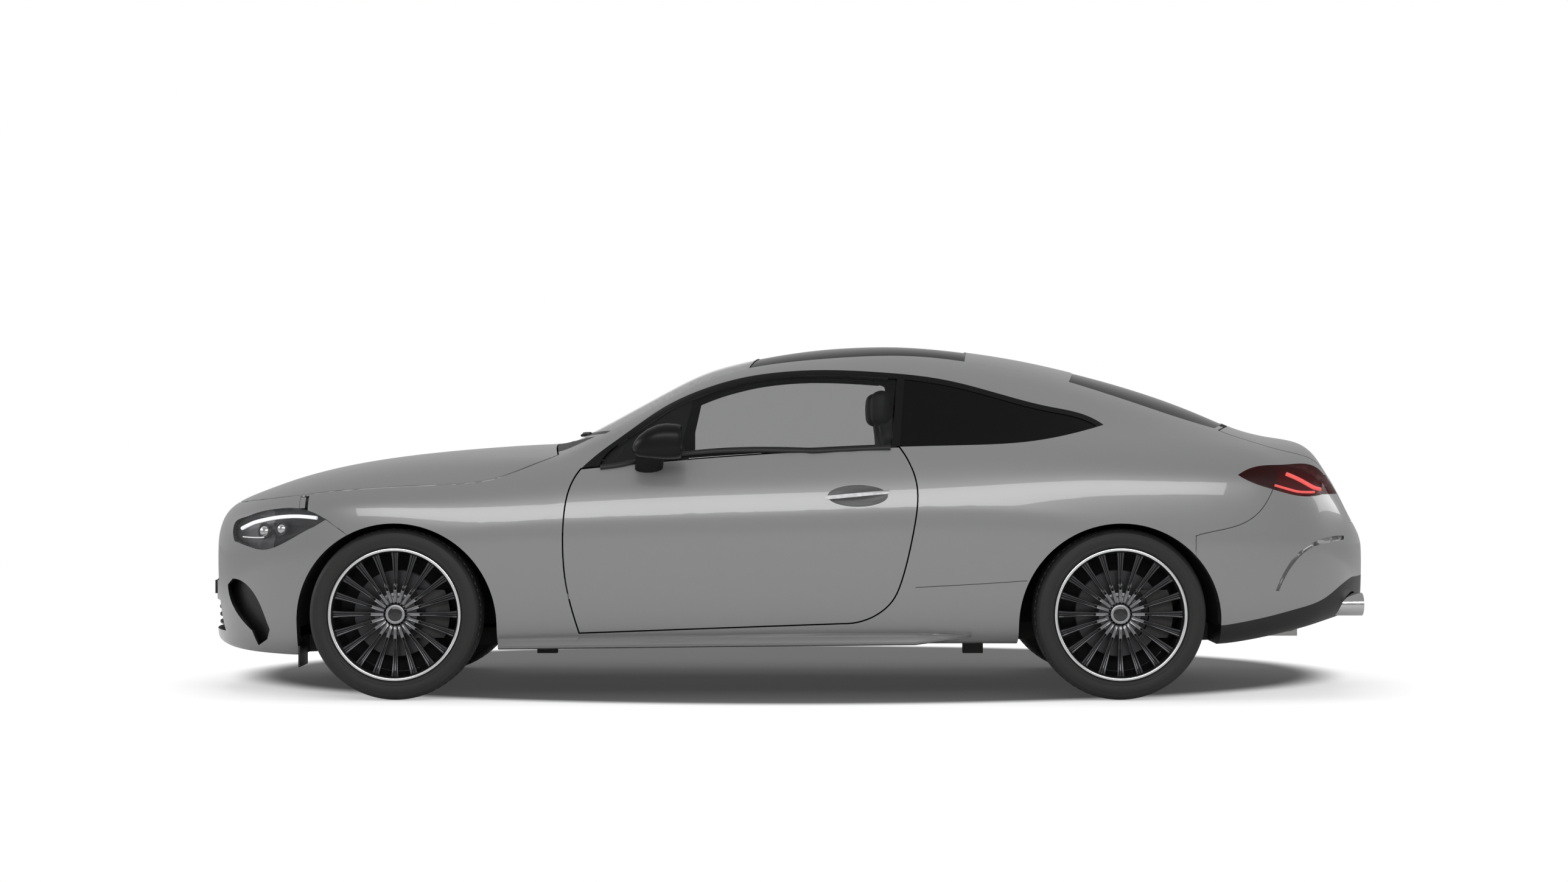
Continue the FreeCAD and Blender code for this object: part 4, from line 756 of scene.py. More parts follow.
def turned_copies(item, count, name):
    """Copies of a piece spaced evenly round the axle, joined with it."""
    copies = [item]
    for i in range(1, count):
        copies.append(copy_of(item))
        copies[-1].data.transform(Matrix.Rotation(2 * math.pi * i / count, 4, "Y"))
    whole = join(copies)
    whole.name = name
    return whole


# A spoke's sections from the hub outwards: (radius, place of its face along the axle, width)
SPOKE = [
    (0.046, -0.079, 0.011), (0.06, -0.0835, 0.0135), (0.096, -0.084, 0.015), (0.106, -0.077, 0.015),
    (0.126, -0.0725, 0.0165), (0.15, -0.0735, 0.019), (0.185, -0.08, 0.022), (0.22, -0.0895, 0.026),
    (0.2455, -0.0965, 0.032),
]
SPOKE_DEPTH, SPOKE_SHOULDER, SPOKE_CREST = 0.03, 0.004, 0.001
# The painted highlight on the outward flat by the hub ends at one radius, and the painted highlights on the
# outward edges start at another
FLAT_END, EDGE_START, EDGE_OFFSET = 0.104, 0.12, 0.0045
FLAT_GROOVE, DEEP_GROOVE = 0.0012, 0.009


def spoke():
    """One slim spoke: a raised flat by the hub, a dip, and a ridge that climbs to the rim."""
    rings = []
    for radius, face, wide in SPOKE:
        groove = FLAT_GROOVE if radius < FLAT_END else DEEP_GROOVE
        half_ring = [(1.1, SPOKE_DEPTH), (1, SPOKE_SHOULDER), (0.86, 0), (0.4, SPOKE_CREST), (0.2, groove)]
        ring = half_ring + [(-share, sunk) for share, sunk in reversed(half_ring)]
        rings.append([(wide / 2 * share, face + sunk, radius) for share, sunk in ring])
    item = lofted("spoke", rings)
    apply_modifier(item, "BEVEL", width=0.0007, segments=2, limit_method="ANGLE",
                   angle_limit=math.radians(25))
    dress(item, 40, shared("rim_black", rim_black), shared("spoke_flat", brushed, (0.24, 0.24, 0.25), 0.25),
          shared("spoke_edge", brushed, (0.075, 0.075, 0.08), 0.25))
    # Lighter metal on the faces that look outward, on the flat by the hub and on the ridge's flanks: painted
    # highlights
    for part in item.data.polygons:
        x, _, z = part.center
        if z < FLAT_END and part.normal[1] < -0.8:
            part.material_index = 1
        elif part.normal[1] < -0.7 and abs(x) > EDGE_OFFSET and z > EDGE_START:
            part.material_index = 2
    return item


def rim_piece():
    """Barrel, bright lip, spokes, hub, bolts and a bare cap."""
    black = shared("rim_black", rim_black)
    bright = shared("turned_lip", brushed, (0.82, 0.82, 0.83), 0.22)
    satin = shared("satin_metal", brushed, (0.42, 0.42, 0.43), 0.3)
    barrel = dress(spun("barrel", [
        (0.243, 0.113), (0.26, 0.113), (0.262, 0.111), (0.262, 0.106), (0.2517, 0.105), (0.2517, 0.06),
        (0.24, 0.045), (0.24, -0.02), (0.2517, -0.035), (0.2517, -0.1045), (0.256, -0.106),
        (0.25, -0.1075), (0.247, -0.104), (0.244, -0.096), (0.233, -0.03), (0.233, 0.04),
        (0.243, 0.056), (0.243, 0.113)]), 30, black)
    lip = dress(spun("lip", [
        (0.2517, -0.105), (0.2612, -0.105), (0.262, -0.106), (0.262, -0.1118), (0.2608, -0.113),
        (0.254, -0.113), (0.2505, -0.111), (0.2496, -0.108), (0.2517, -0.105)], 128), 50, bright)
    spokes = turned_copies(spoke(), settings()[1].spokes, "spokes")
    hub = dress(spun("hub", [
        (0.0001, -0.03), (0.07, -0.03), (0.08, -0.034), (0.086, -0.052), (0.084, -0.06), (0.07, -0.064),
        (0.048, -0.066), (0.04, -0.07), (0.038, -0.078), (0.035, -0.08), (0.0001, -0.08)]), 30, black)
    surround = dress(spun("cap_surround", [
        (0.033, -0.079), (0.039, -0.079), (0.0395, -0.083), (0.038, -0.086), (0.033, -0.0875),
        (0.028, -0.0865), (0.027, -0.084), (0.033, -0.079)], 60), 50, satin)
    cap = dress(spun("cap", [
        (0.0001, -0.085), (0.015, -0.0852), (0.0255, -0.0848), (0.0278, -0.0835), (0.0278, -0.079)],
        60), 50, black)
    bolts = turned_copies(bolt(), 5, "bolts")
    return join([barrel, lip, spokes, hub, surround, cap, bolts])


BOLT_CIRCLE = 0.056


def bolt():
    """A wheel bolt: round collar with a hexagon head that is hollow in the middle."""
    bpy.ops.mesh.primitive_cylinder_add(vertices=6, radius=0.0098, depth=0.014,
                                        location=(0, -0.071, -BOLT_CIRCLE), rotation=(math.radians(90), 0, 0))
    head = active()
    settle(head)
    edit_mesh(head, (bpy.ops.mesh.inset, {"thickness": 0.0032, "depth": 0}),
              (bpy.ops.mesh.extrude_region_move, {"TRANSFORM_OT_translate": {"value": (0, 0.006, 0)}}),
              chosen=lambda face: face.normal.y < -0.9)
    apply_modifier(head, "BEVEL", width=0.0006, segments=2, limit_method="ANGLE",
                   angle_limit=math.radians(30))
    collar = spun("collar", [(0.0001, -0.063), (0.0135, -0.063), (0.0135, -0.066), (0.0115, -0.0675),
                             (0.0001, -0.0675)], 32)
    collar.data.transform(Matrix.Translation((0, 0, -BOLT_CIRCLE)))
    return dress(join([head, collar]), 35, shared("bolt_steel", brushed, (0.12, 0.12, 0.125), 0.32))


def disc_piece():
    """The vented brake disc with its hat on the hub's inner side, and the dust shield behind it, widened to
    the barrel as a near-black sheet of painted shade.
    """
    disc = dress(spun("disc", [
        (0.032, -0.016), (0.078, -0.016), (0.08, -0.01), (0.08, -0.0075), (0.108, -0.0075), (0.11, -0.008),
        (0.1705, -0.008), (0.172, -0.0065), (0.172, 0.002), (0.16, 0.004), (0.16, 0.01),
        (0.172, 0.012), (0.172, 0.0205), (0.1705, 0.022), (0.032, 0.022), (0.032, -0.016)]),
        30, shared("disc_steel", disc_steel))
    # The dust shield is a real part, reaching out to the barrel in near black so that the view through the
    # spokes stays dark: painted shade
    shield = spun("dust_shield", [
        (0.07, 0.034), (0.232, 0.034), (0.232, 0.037), (0.07, 0.037), (0.07, 0.034)])
    paint_with(shield, shared("shield_black", grained_plastic, (0.004, 0.004, 0.004), 0.8))
    return join([shield, disc])


TYRE_STEPS = 144
# The tread's grooves: their middles, half widths at the top and at the floor, and the floor's radius
GROOVES, GROOVE_TOP, GROOVE_FLOOR, FLOOR_RADIUS = (-0.062, -0.022, 0.022, 0.062), 0.0055, 0.004, 0.332
# Slots lie on the ribs between these places and outside this radius
SLOT_PLACES, SLOT_RADIUS = (0.068, 0.1), 0.333


def tyre_piece():
    """A road tyre: rounded shoulders, a rim guard, and a tread of ribs, grooves and slots."""
    wall = [(0.252, -0.1047), (0.2623, -0.1047), (0.266, -0.112), (0.27, -0.1165), (0.277, -0.1188),
            (0.28, -0.118), (0.29, -0.1213), (0.302, -0.1222), (0.312, -0.1205), (0.32, -0.1165),
            (0.3215, -0.1165), (0.328, -0.111), (0.332, -0.105)]
    tread = [(0.335, -0.0985)]
    for middle in GROOVES:
        crown = 0.339 if abs(middle) > 0.04 else 0.3395
        tread += [(crown, middle - GROOVE_TOP), (FLOOR_RADIUS, middle - GROOVE_FLOOR),
                  (FLOOR_RADIUS, middle + GROOVE_FLOOR), (crown, middle + GROOVE_TOP)]
    tread.append((0.335, 0.0985))
    other = [(radius, -place) for radius, place in reversed(wall)]
    item = spun("tyre", wall + tread + other + wall[:1], TYRE_STEPS)
    edit_mesh(item, (bpy.ops.mesh.inset, {"thickness": 0.0022, "depth": -0.004, "use_individual": True}),
              chosen=in_slot)
    return dress(item, 32, shared("tyre_rubber", tyre_rubber))


def in_slot(face):
    """Whether a face lies on a shoulder rib, in every other segment."""
    middle = face.calc_center_median()
    turn = math.floor(math.atan2(middle.z, middle.x) / (2 * math.pi / TYRE_STEPS))
    on_rib = SLOT_PLACES[0] < abs(middle.y) < SLOT_PLACES[1]
    return math.hypot(middle.x, middle.z) > SLOT_RADIUS and on_rib and turn % 2 == 0


class COUPE_OT_wheels(bpy.types.Operator):
    """Rims with their discs, and tyres, on all four corners"""
    bl_idname = "coupe.wheels"
    bl_label = "Wheels"

    def execute(self, context):
        rim = join([rim_piece(), disc_piece()])
        tyre = tyre_piece()
        for corner in ("front_left", "front_right", "rear_left", "rear_right"):
            low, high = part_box("tyre_" + corner)
            half_turn = Matrix.Rotation(math.pi if corner.endswith("right") else 0, 4, "Z")
            for master, kind in ((rim, "rim_"), (tyre, "tyre_")):
                copy = copy_of(master)
                copy.data.transform(Matrix.Translation((low + high) / 2) @ half_turn)
                stand_for(copy, kind + corner, "_dressed")
        bpy.data.objects.remove(rim)
        bpy.data.objects.remove(tyre)
        return {"FINISHED"}


# Lamps, mirrors, seats and small trim. Lines on the car's side are (x, z); an eye is (x, z, radius)
HEAD_STRIP = [(-2.214, 0.676), (-2.17, 0.697), (-2.128, 0.71), (-2.037, 0.727), (-1.94, 0.731),
              (-1.872, 0.722)]
HEAD_LOWER_STRIP = [(-2.205, 0.64), (-2.15, 0.636), (-2.1, 0.64)]
HEAD_EYES = [(-2.125, 0.668, 0.03), (-2.045, 0.678, 0.026)]
TAIL_STRIP = [(1.985, 0.902), (2.03, 0.884), (2.075, 0.858), (2.105, 0.842), (2.13, 0.838)]
TAIL_LOWER_STRIP = [(1.93, 0.853), (1.985, 0.838), (2.04, 0.824), (2.1, 0.826)]
QUARTER_LINE = [(0.5, 0.446), (0.65, 0.454), (0.8, 0.463), (0.94, 0.473)]
# The lamps' housings are black rearwards of the first station and forwards of the second
HEAD_DARK_FROM, TAIL_DARK_TO = -2.06, 1.95
# How near to the skin, and how nearly facing the same way, a lamp's face is its lens
LENS_REACH, LENS_SAME_WAY = 0.0045, 0.8
HEAD_STRIP_DEPTH, TAIL_STRIP_DEPTH, EYE_DEPTH = 0.016, 0.014, 0.055
# A bezel's place ahead of its eye's middle, in shares of the eye's radius, and its thickness
BEZEL_AHEAD, BEZEL_THICK = 0.55, 0.004


def skin_spot(tree, x, z, side, inward):
    """A point a little inside the skin on the left (-1) or right (1), and the skin's normal there."""
    spot, normal, _, _ = tree.ray_cast(Vector((x, side * 2, z)), Vector((0, -side, 0)))
    return spot - normal * inward, normal


def side_line(tree, line, side, inward):
    return [skin_spot(tree, x, z, side, inward)[0] for x, z in line]


def rod(name, points, radius, material):
    """A round bar through points, with flat closed ends."""
    curve = bpy.data.curves.new(name, "CURVE")
    curve.dimensions = "3D"
    curve.bevel_depth = radius
    curve.bevel_resolution = 3
    curve.use_fill_caps = True
    line = curve.splines.new("NURBS")
    line.points.add(len(points) - 1)
    for knot, point in zip(line.points, points):
        knot.co = (*point, 1)
    line.use_endpoint_u = True
    line.order_u = 3
    item = bpy.data.objects.new(name, curve)
    bpy.context.scene.collection.objects.link(item)
    pick(item)
    bpy.ops.object.convert(target="MESH")
    return dress(active(), 50, material)


def ball(place, size, material):
    """A smooth ball."""
    bpy.ops.mesh.primitive_uv_sphere_add(segments=32, ring_count=20, radius=size, location=place)
    settle(active())
    return dress(active(), 60, material)


def turned_ring(place, direction, radius, tube, material):
    """A bezel round a lamp's eye, facing along a direction."""
    turn = direction.to_track_quat("Z", "Y").to_euler()
    bpy.ops.mesh.primitive_torus_add(major_radius=radius, minor_radius=tube, major_segments=40,
                                     minor_segments=10, location=place, rotation=turn)
    settle(active())
    return dress(active(), 60, material)


def lamp_form(node, skin, tree, lens, housing, dark, dark_side):
    """A lamp from its solid: outer faces are the lens, the others its housing, black on its dark side."""
    item = node_copy(node)
    lend_shading(item, skin, tree)
    paint_with(item, lens, housing, dark)
    for face in item.data.polygons:
        _, normal, _, away = tree.find_nearest(face.center)
        if away < LENS_REACH and normal.dot(face.normal) > LENS_SAME_WAY:
            face.material_index = 0
        else:
            face.material_index = 2 if dark_side(face.center[0]) else 1
    return item


class COUPE_OT_lamps(bpy.types.Operator):
    """Headlamps with light strips and eyes, and tail lamps with their light bands"""
    bl_idname = "coupe.lamps"
    bl_label = "Lamps"

    def execute(self, context):
        skin, tree = skin_and_tree(context)
        lens = shared("head_lens", tinted_glass, 0.07, (0.55, 0.56, 0.58))
        red_lens = shared("tail_lens", tinted_glass, 0.34, (0.07, 0.005, 0.006))
        black = shared("lamp_housing", grained_plastic, (0.015, 0.015, 0.016), 0.35)
        chrome = shared("lamp_reflector", brushed, (0.62, 0.62, 0.63), 0.2)
        white = shared("white_guide", glow, (0.9, 0.92, 0.95), 0.55)
        red = shared("red_guide", glow, (0.85, 0.12, 0.11), 1.1)
        grey = shared("lamp_inside", grained_plastic, (0.16, 0.16, 0.165), 0.3)
        dark_red = shared("tail_inside", grained_plastic, (0.1, 0.006, 0.008), 0.35)
        head = [lamp_form("headlamps", skin, tree, lens, grey, black, lambda x: x > HEAD_DARK_FROM)]
        tail = [lamp_form("tail_lamps", skin, tree, red_lens, dark_red, black, lambda x: x < TAIL_DARK_TO)]
        for side in (-1, 1):
            for line, radius, shine in ((HEAD_STRIP, 0.0075, white), (HEAD_LOWER_STRIP, 0.0045, chrome)):
                head.append(rod("head_strip", side_line(tree, line, side, HEAD_STRIP_DEPTH), radius, shine))
            for x, z, size in HEAD_EYES:
                place, normal = skin_spot(tree, x, z, side, EYE_DEPTH)
                head.append(ball(place, size, chrome))
                ahead = place + normal * size * BEZEL_AHEAD
                head.append(turned_ring(ahead, normal, size, BEZEL_THICK, black))
            for line, radius in ((TAIL_STRIP, 0.008), (TAIL_LOWER_STRIP, 0.005)):
                tail.append(rod("tail_strip", side_line(tree, line, side, TAIL_STRIP_DEPTH), radius, red))
        seat(join(head[::-1]), "headlamp_pair", "shell", SLOT_OF["headlamps"], "headlamps")
        seat(join(tail[::-1]), "tail_lamp_pair", "shell", SLOT_OF["tail_lamps"], "tail_lamps")
        bpy.data.objects.remove(skin)
        return {"FINISHED"}


def rounded_copy(node, voxel, rounds):
    """A soft form from a solid: remeshed finely and rounded off."""
    item = node_copy(node)
    apply_modifier(item, "REMESH", mode="VOXEL", voxel_size=voxel, use_smooth_shade=True)
    apply_modifier(item, "SMOOTH", factor=0.6, iterations=rounds)
    return item


# The front seats' middles and seams; how far their backs lean forward, from which height and over how much
SEAT_MIDDLE, SEAM_STEPS = 0.4, (-0.12, 0, 0.12)
SEAT_LEAN, LEAN_FROM, LEAN_OVER = 0.11, 0.6, 0.5
HEADREST_X, HEADREST_HALF, HEADREST_Z, HEADREST_EDGE = (0.335, 0.425), 0.13, (1.085, 1.232), 0.036


def seams(item, material):
    """Sewn lines that run down the back and along the cushion of both front seats."""
    tree = BVHTree.FromObject(item, bpy.context.evaluated_depsgraph_get())
    lines = []
    for y in [side * SEAT_MIDDLE + step for side in (-1, 1) for step in SEAM_STEPS]:
        down = [tree.ray_cast(Vector((x / 100, y, 0.8)), Vector((0, 0, -1)))[0] for x in range(-14, 24, 6)]
        back = [tree.ray_cast(Vector((0, y, z / 100)), Vector((1, 0, 0)))[0] for z in range(62, 104, 7)]
        for spots in (down, back):
            spots = [spot for spot in spots if spot]
            if len(spots) > 3:
                lines.append(rod("seam", spots, 0.0035, material))
    return lines


# The mirror's sections from its nose to its open back: (x, share of width, share of height, middle height)
MIRROR_HEAD = [(-0.6165, 0.16, 0.12, 0.992), (-0.608, 0.44, 0.36, 0.996), (-0.588, 0.7, 0.6, 1.004),
               (-0.556, 0.88, 0.8, 1.014), (-0.516, 0.97, 0.95, 1.021), (-0.484, 1.0, 1.0, 1.0225),
               (-0.445, 1.0, 0.98, 1.0225), (-0.426, 0.97, 0.93, 1.0225), (-0.4235, 0.94, 0.9, 1.0225),
               (-0.4235, 0.91, 0.86, 1.0225), (-0.433, 0.9, 0.85, 1.0225)]
MIRROR_MIDDLE, MIRROR_HALF_WIDE, MIRROR_HALF_HIGH = 0.918, 0.086, 0.071
MIRROR_GLASS_X, MIRROR_GLASS_HALF, MIRROR_GLASS_MIDDLE = (-0.431, -0.4275), (0.079, 0.06), 1.024
# The mirror's foot, each (height, x, y, half length, half width)
MIRROR_FOOT = [(0.884, -0.558, 0.8, 0.048, 0.024), (0.896, -0.558, 0.805, 0.054, 0.026),
               (0.925, -0.554, 0.83, 0.056, 0.026), (0.962, -0.548, 0.865, 0.056, 0.026)]


def ring_turns(count):
    return [2 * math.pi * i / count for i in range(count)]


def mirror_ring(side, count, height, x, y, half_x, half_y):
    """One level section of the mirror's foot."""
    return [(x + half_x * math.cos(t), side * (y + half_y * math.sin(t)), height)
            for t in ring_turns(count)]


def mirror_head(side, material):
    """The mirror's wedge: full and flat behind, drawn to a low rounded nose."""
    rings = []
    for x, wide, high, middle in MIRROR_HEAD:
        ring = []
        for t in ring_turns(40):
            across, up = math.cos(t), math.sin(t)
            bulge = (abs(across) ** 3 + abs(up) ** 3) ** (-1 / 3)
            ring.append((x, side * (MIRROR_MIDDLE + MIRROR_HALF_WIDE * wide * across * bulge),
                         middle + MIRROR_HALF_HIGH * high * up * bulge))
        rings.append(ring)
    return dress(lofted("mirror_head", rings), 50, material)


def mirror_glass(side):
    """A thin oval glass in the mirror's open back."""
    half_y, half_z = MIRROR_GLASS_HALF
    rings = [[(x, side * (MIRROR_MIDDLE + half_y * math.cos(t)), MIRROR_GLASS_MIDDLE + half_z * math.sin(t))
              for t in ring_turns(40)] for x in MIRROR_GLASS_X]
    item = lofted("mirror_glass", rings)
    paint_with(item, shared("mirror_glass", brushed, (0.75, 0.76, 0.78), 0.04))
    return item


def slab(span_x, middle_y, half_y, span_z, material, edge=0.002):
    """A plain board with softened edges."""
    spans = (span_x, (middle_y - half_y, middle_y + half_y), span_z)
    bpy.ops.mesh.primitive_cube_add(size=1, location=[(low + high) / 2 for low, high in spans])
    item = active()
    item.scale = [high - low for low, high in spans]
    settle(item)
    apply_modifier(item, "BEVEL", width=edge, segments=2)
    return dress(item, 40, material)


def headrest(side, material):
    """A padded headrest."""
    item = slab(HEADREST_X, side * SEAT_MIDDLE, HEADREST_HALF, HEADREST_Z, material, HEADREST_EDGE)
    apply_modifier(item, "SUBSURF", levels=2)
    return item


class COUPE_OT_cabin(bpy.types.Operator):
    """Padded seats and bench, the steering wheel and the mirrors"""
    bl_idname = "coupe.cabin"
    bl_label = "Cabin and mirrors"

    def execute(self, context):
        leather = shared("cabin_leather", cabin_leather)
        thread = shared("seam_thread", cabin_leather)
        for node, voxel in (("front_seats", 0.013), ("rear_bench", 0.014)):
            item = rounded_copy(node, voxel, 14)
            paint_with(item, leather)
            if node == "front_seats":
                for vertex in item.data.vertices:
                    vertex.co.x -= SEAT_LEAN * min(max((vertex.co.z - LEAN_FROM) / LEAN_OVER, 0), 1)
                item = join([headrest(-1, leather), headrest(1, leather), *seams(item, thread), item])
            stand_for(item, node, "_padded")
        wheel = dress(node_copy("steering_wheel"), 40, shared("grip_leather", cabin_leather))
        stand_for(wheel, "steering_wheel", "_dressed")
        for side, node in ((-1, "mirror_left"), (1, "mirror_right")):
            head = mirror_head(side, gloss_black())
            foot = lofted("foot", [mirror_ring(side, 14, *row) for row in MIRROR_FOOT])
            dress(foot, 40, gloss_black())
            stand_for(join([mirror_glass(side), foot, head]), node, "_dressed")
        return {"FINISHED"}


def sheet(name, rows, thick, material):
    """A thin sheet through rows of points, thickened towards the car's middle."""
    wide = min(len(row) for row in rows)
    points = [tuple(point) for row in rows for point in row[:wide]]
    points += [(x, y - thick, z) for x, y, z in points]
    half = wide * len(rows)
    faces = grid_faces(len(rows), wide)
    faces += [tuple(k + half for k in reversed(face)) for face in faces]
    border = list(range(wide)) + [i * wide + wide - 1 for i in range(1, len(rows))]
    border += list(range(half - 2, half - wide - 1, -1)) + [i * wide for i in range(len(rows) - 2, 0, -1)]
    for a, b in zip(border, border[1:] + border[:1]):
        faces.append((b, a, a + half, b + half))
    item = new_mesh_object(name, points, faces)
    outward(item)
    return dress(item, 40, material)


def pane_edge(node, span, choose, steps=16):
    """Points along the lower (min) or upper (max) edge of a side pane, between two stations."""
    x0, x1 = span
    spots = [tuple(vertex.co) for vertex in NODES[node].data.vertices]
    line = []
    for i in range(steps + 1):
        x = x0 + (x1 - x0) * i / steps
        near = [spot for spot in spots if abs(spot[0] - x) < 0.03]
        if near:
            line.append(choose(near, key=lambda spot: spot[2]))
    return line


# The pane's seal behind the door glass, each (x, distance from the car's middle, z)
REAR_SEAL = [(0.385, 0.58, 1.284), (0.425, 0.588, 1.277), (0.44, 0.602, 1.258), (0.436, 0.66, 1.15),
             (0.432, 0.715, 1.03), (0.43, 0.76, 0.935)]
# Stations along the door glass: of the belt moulding, of the seal above it and of the mirror's sail plate
BELT_SPAN, SEAL_SPAN, SAIL_SPAN = (-0.735, 0.405), (-0.66, 0.428), (-0.735, -0.41)
# How far outwards from the pane each of them stands, and how far up the seal
BELT_OUT, SEAL_OUT, SEAL_UP, SAIL_OUT = 0.004, -0.017, 0.006, -0.009
# Radii of the round bars, and the thin sheets' thickness
BELT_RADIUS, SEAL_RADIUS, WIPER_RADIUS, QUARTER_RADIUS, SHEET_THICK = 0.012, 0.01, 0.006, 0.0012, 0.003
# The painted patch over the headlamp's rear corner, and its depth in the skin
PATCH_X = (-1.968, -1.952, -1.935, -1.918)
PATCH_Z = (0.7585, 0.769, 0.78, 0.791, 0.802)
PATCH_DEPTH = 0.0022
# Boards: their spans along the car (the holder's from the nose), middles, half widths and spans of height
FLAP_X, FLAP_MIDDLE, FLAP_HALF, FLAP_Z = (-1.948, -1.94), 0.71, 0.1, (0.126, 0.21)
SCREEN_X, SCREEN_HALF, SCREEN_Z = (-0.585, -0.575), 0.13, (0.86, 0.995)
HOLDER_X, HOLDER_HALF, HOLDER_Z = (0.0005, 0.022), 0.26, (0.392, 0.448)
# The wipers' ends across the car, the station of their middle, how they bend and how far one end is set back
WIPERS = (("left", -0.52, 0.06), ("right", 0.02, 0.56))
WIPER_FOOT, WIPER_BEND, WIPER_BACK = -0.872, 0.26, 0.02
# The exhaust is bright from this station rearwards
TIPS_FROM = 2.16


def moved(points, out, up):
    """Points moved sideways and upwards."""
    return [(x, y + out, z + up) for x, y, z in points]


def wiper_line(tree, y0, y1):
    """Points on the foot of the windscreen, a little over its skin."""
    line = []
    for k in range(9):
        y = y0 + (y1 - y0) * k / 8
        x = WIPER_FOOT + WIPER_BEND * y * y + WIPER_BACK * k / 8
        line.append(tree.ray_cast(Vector((x, y, 2)), Vector((0, 0, -1)))[0] + Vector((-0.004, 0, 0.009)))
    return line


class COUPE_OT_trim(bpy.types.Operator):
    """Mouldings and seals of the panes, small black trim, wipers, the dash screen and the exhaust's finish"""
    bl_idname = "coupe.trim"
    bl_label = "Small trim"

    def execute(self, context):
        black = black_trim()
        skin, tree = skin_and_tree(context)
        paint_with(NODES["front_grille"], black)
        for side, name in ((-1, "left"), (1, "right")):
            body = BODY_OF["door_" + name]
            pane = "door_glass_" + name
            belt = rod("belt", moved(pane_edge(pane, BELT_SPAN, min), side * BELT_OUT, 0), BELT_RADIUS, black)
            seat(belt, "belt_moulding_" + name, body)
            upper_edge = moved(pane_edge(pane, SEAL_SPAN, max), side * SEAL_OUT, SEAL_UP)
            over = rod("over", upper_edge, SEAL_RADIUS, black)
            behind = rod("behind", [(x, side * y, z) for x, y, z in REAR_SEAL], SEAL_RADIUS, black)
            seat(join([over, behind]), "pane_seal_" + name)
            edges = [pane_edge(pane, SAIL_SPAN, choose, 8) for choose in (min, max)]
            rows = [moved(edge, side * SAIL_OUT, 0) for edge in edges]
            seat(sheet("sail", rows, side * SHEET_THICK, black), "mirror_sail_" + name, body)
            rows = [side_line(tree, [(x, z) for x in PATCH_X], side, PATCH_DEPTH) for z in PATCH_Z]
            patch = sheet("patch", rows, side * SHEET_THICK, shared("silver_paint", silver_paint))
            seat(patch, "lamp_corner_" + name, "shell", SLOT_OF["front_bumper"])
            flap = slab(FLAP_X, side * FLAP_MIDDLE, FLAP_HALF, FLAP_Z, black)
            seat(flap, "wheel_flap_" + name)
            quarter = rod("quarter", side_line(tree, QUARTER_LINE, side, 0), QUARTER_RADIUS, black)
            seat(quarter, "quarter_line_" + name)
        for name, y0, y1 in WIPERS:
            seat(rod("wiper", wiper_line(tree, y0, y1), WIPER_RADIUS, black), "wiper_" + name)
        seat(slab(SCREEN_X, 0, SCREEN_HALF, SCREEN_Z, gloss_black()), "dash_screen")
        bpy.data.objects.remove(skin)
        span = [CAD_BOX[0][0] + x for x in HOLDER_X]
        seat(slab(span, 0, HOLDER_HALF, HOLDER_Z, black), "front_plate_holder")
        tips = NODES["exhaust"]
        paint_with(tips, shared("exhaust_steel", brushed, (0.45, 0.44, 0.43), 0.3),
                   shared("bright_trim", brushed, (0.62, 0.62, 0.63), 0.12))
        for face in tips.data.polygons:
            if face.center[0] > TIPS_FROM:
                face.material_index = 1
        return {"FINISHED"}


class COUPE_OT_carried(bpy.types.Operator):
    """Finishes for the pieces that keep the solids' own shapes"""
    bl_idname = "coupe.carried"
    bl_label = "Carried pieces"

    def execute(self, context):
        iron = shared("cast_carrier", cast_iron)
        plain = {
            "floor_pan": shared("underseal", underseal),
            "arch_liners": shared("liner_felt", liner_felt),
            "bulkheads": shared("carpet_board", grained_plastic, (0.012, 0.012, 0.012), 0.9),
            "knuckle_left": iron, "knuckle_right": iron, "front_subframe": iron, "rear_suspension": iron,
            "engine_block": shared("engine_alloy", brushed, (0.3, 0.3, 0.31), 0.5),
            "dashboard": shared("dash_skin", grained_plastic, (0.02, 0.02, 0.02), 0.6),
        }
        for node, material in plain.items():
            paint_with(NODES[node], material)
        return {"FINISHED"}


# Lamps over and round the car: name, place, turn in degrees, length, width, power, shows in reflections
SOFTBOXES = [
    ("roof_softbox", (0, 0, 4.6), (0, 0, 0), 7.0, 3.0, 80, False),
    ("side_softbox", (0, -6.5, 3.4), (62, 0, 0), 8.0, 1.6, 150, True),
    ("far_softbox", (0, 6.5, 3.4), (-62, 0, 0), 8.0, 1.6, 110, False),
    ("nose_softbox", (-7.0, 0, 2.6), (0, -70, 0), 1.6, 5.0, 70, True),
    ("tail_softbox", (7.0, 0, 2.6), (0, 70, 0), 1.6, 5.0, 70, True),
]
CAMERA_X = -0.019
FLOOR_SIZE = 60
# The painted shadow under the car, a dark oval that the camera sees: its half length and width, the place of
# its middle in shares of the half width, its soft edge in shares of its size, and its colour
OVAL_HALVES, OVAL_SHIFT, OVAL_EDGE, PAINTED_SHADOW_COLOUR = (2.42, 1.75), -0.37, (0.92, 1.03), (0.13, 0.13, 0.13)
FLOOR_COLOUR = (0.8, 0.8, 0.8)
# How much the floor shines towards the camera inside the oval (the painted shadow's level) and outside it,
# and where it turns plain white
FLOOR_SHINE, FLOOR_FADE = (0.05, 0.45), (2.6, 5.5)
WORLD_GREY, WORLD_STRENGTH = (0.55, 0.55, 0.55, 1), 0.72


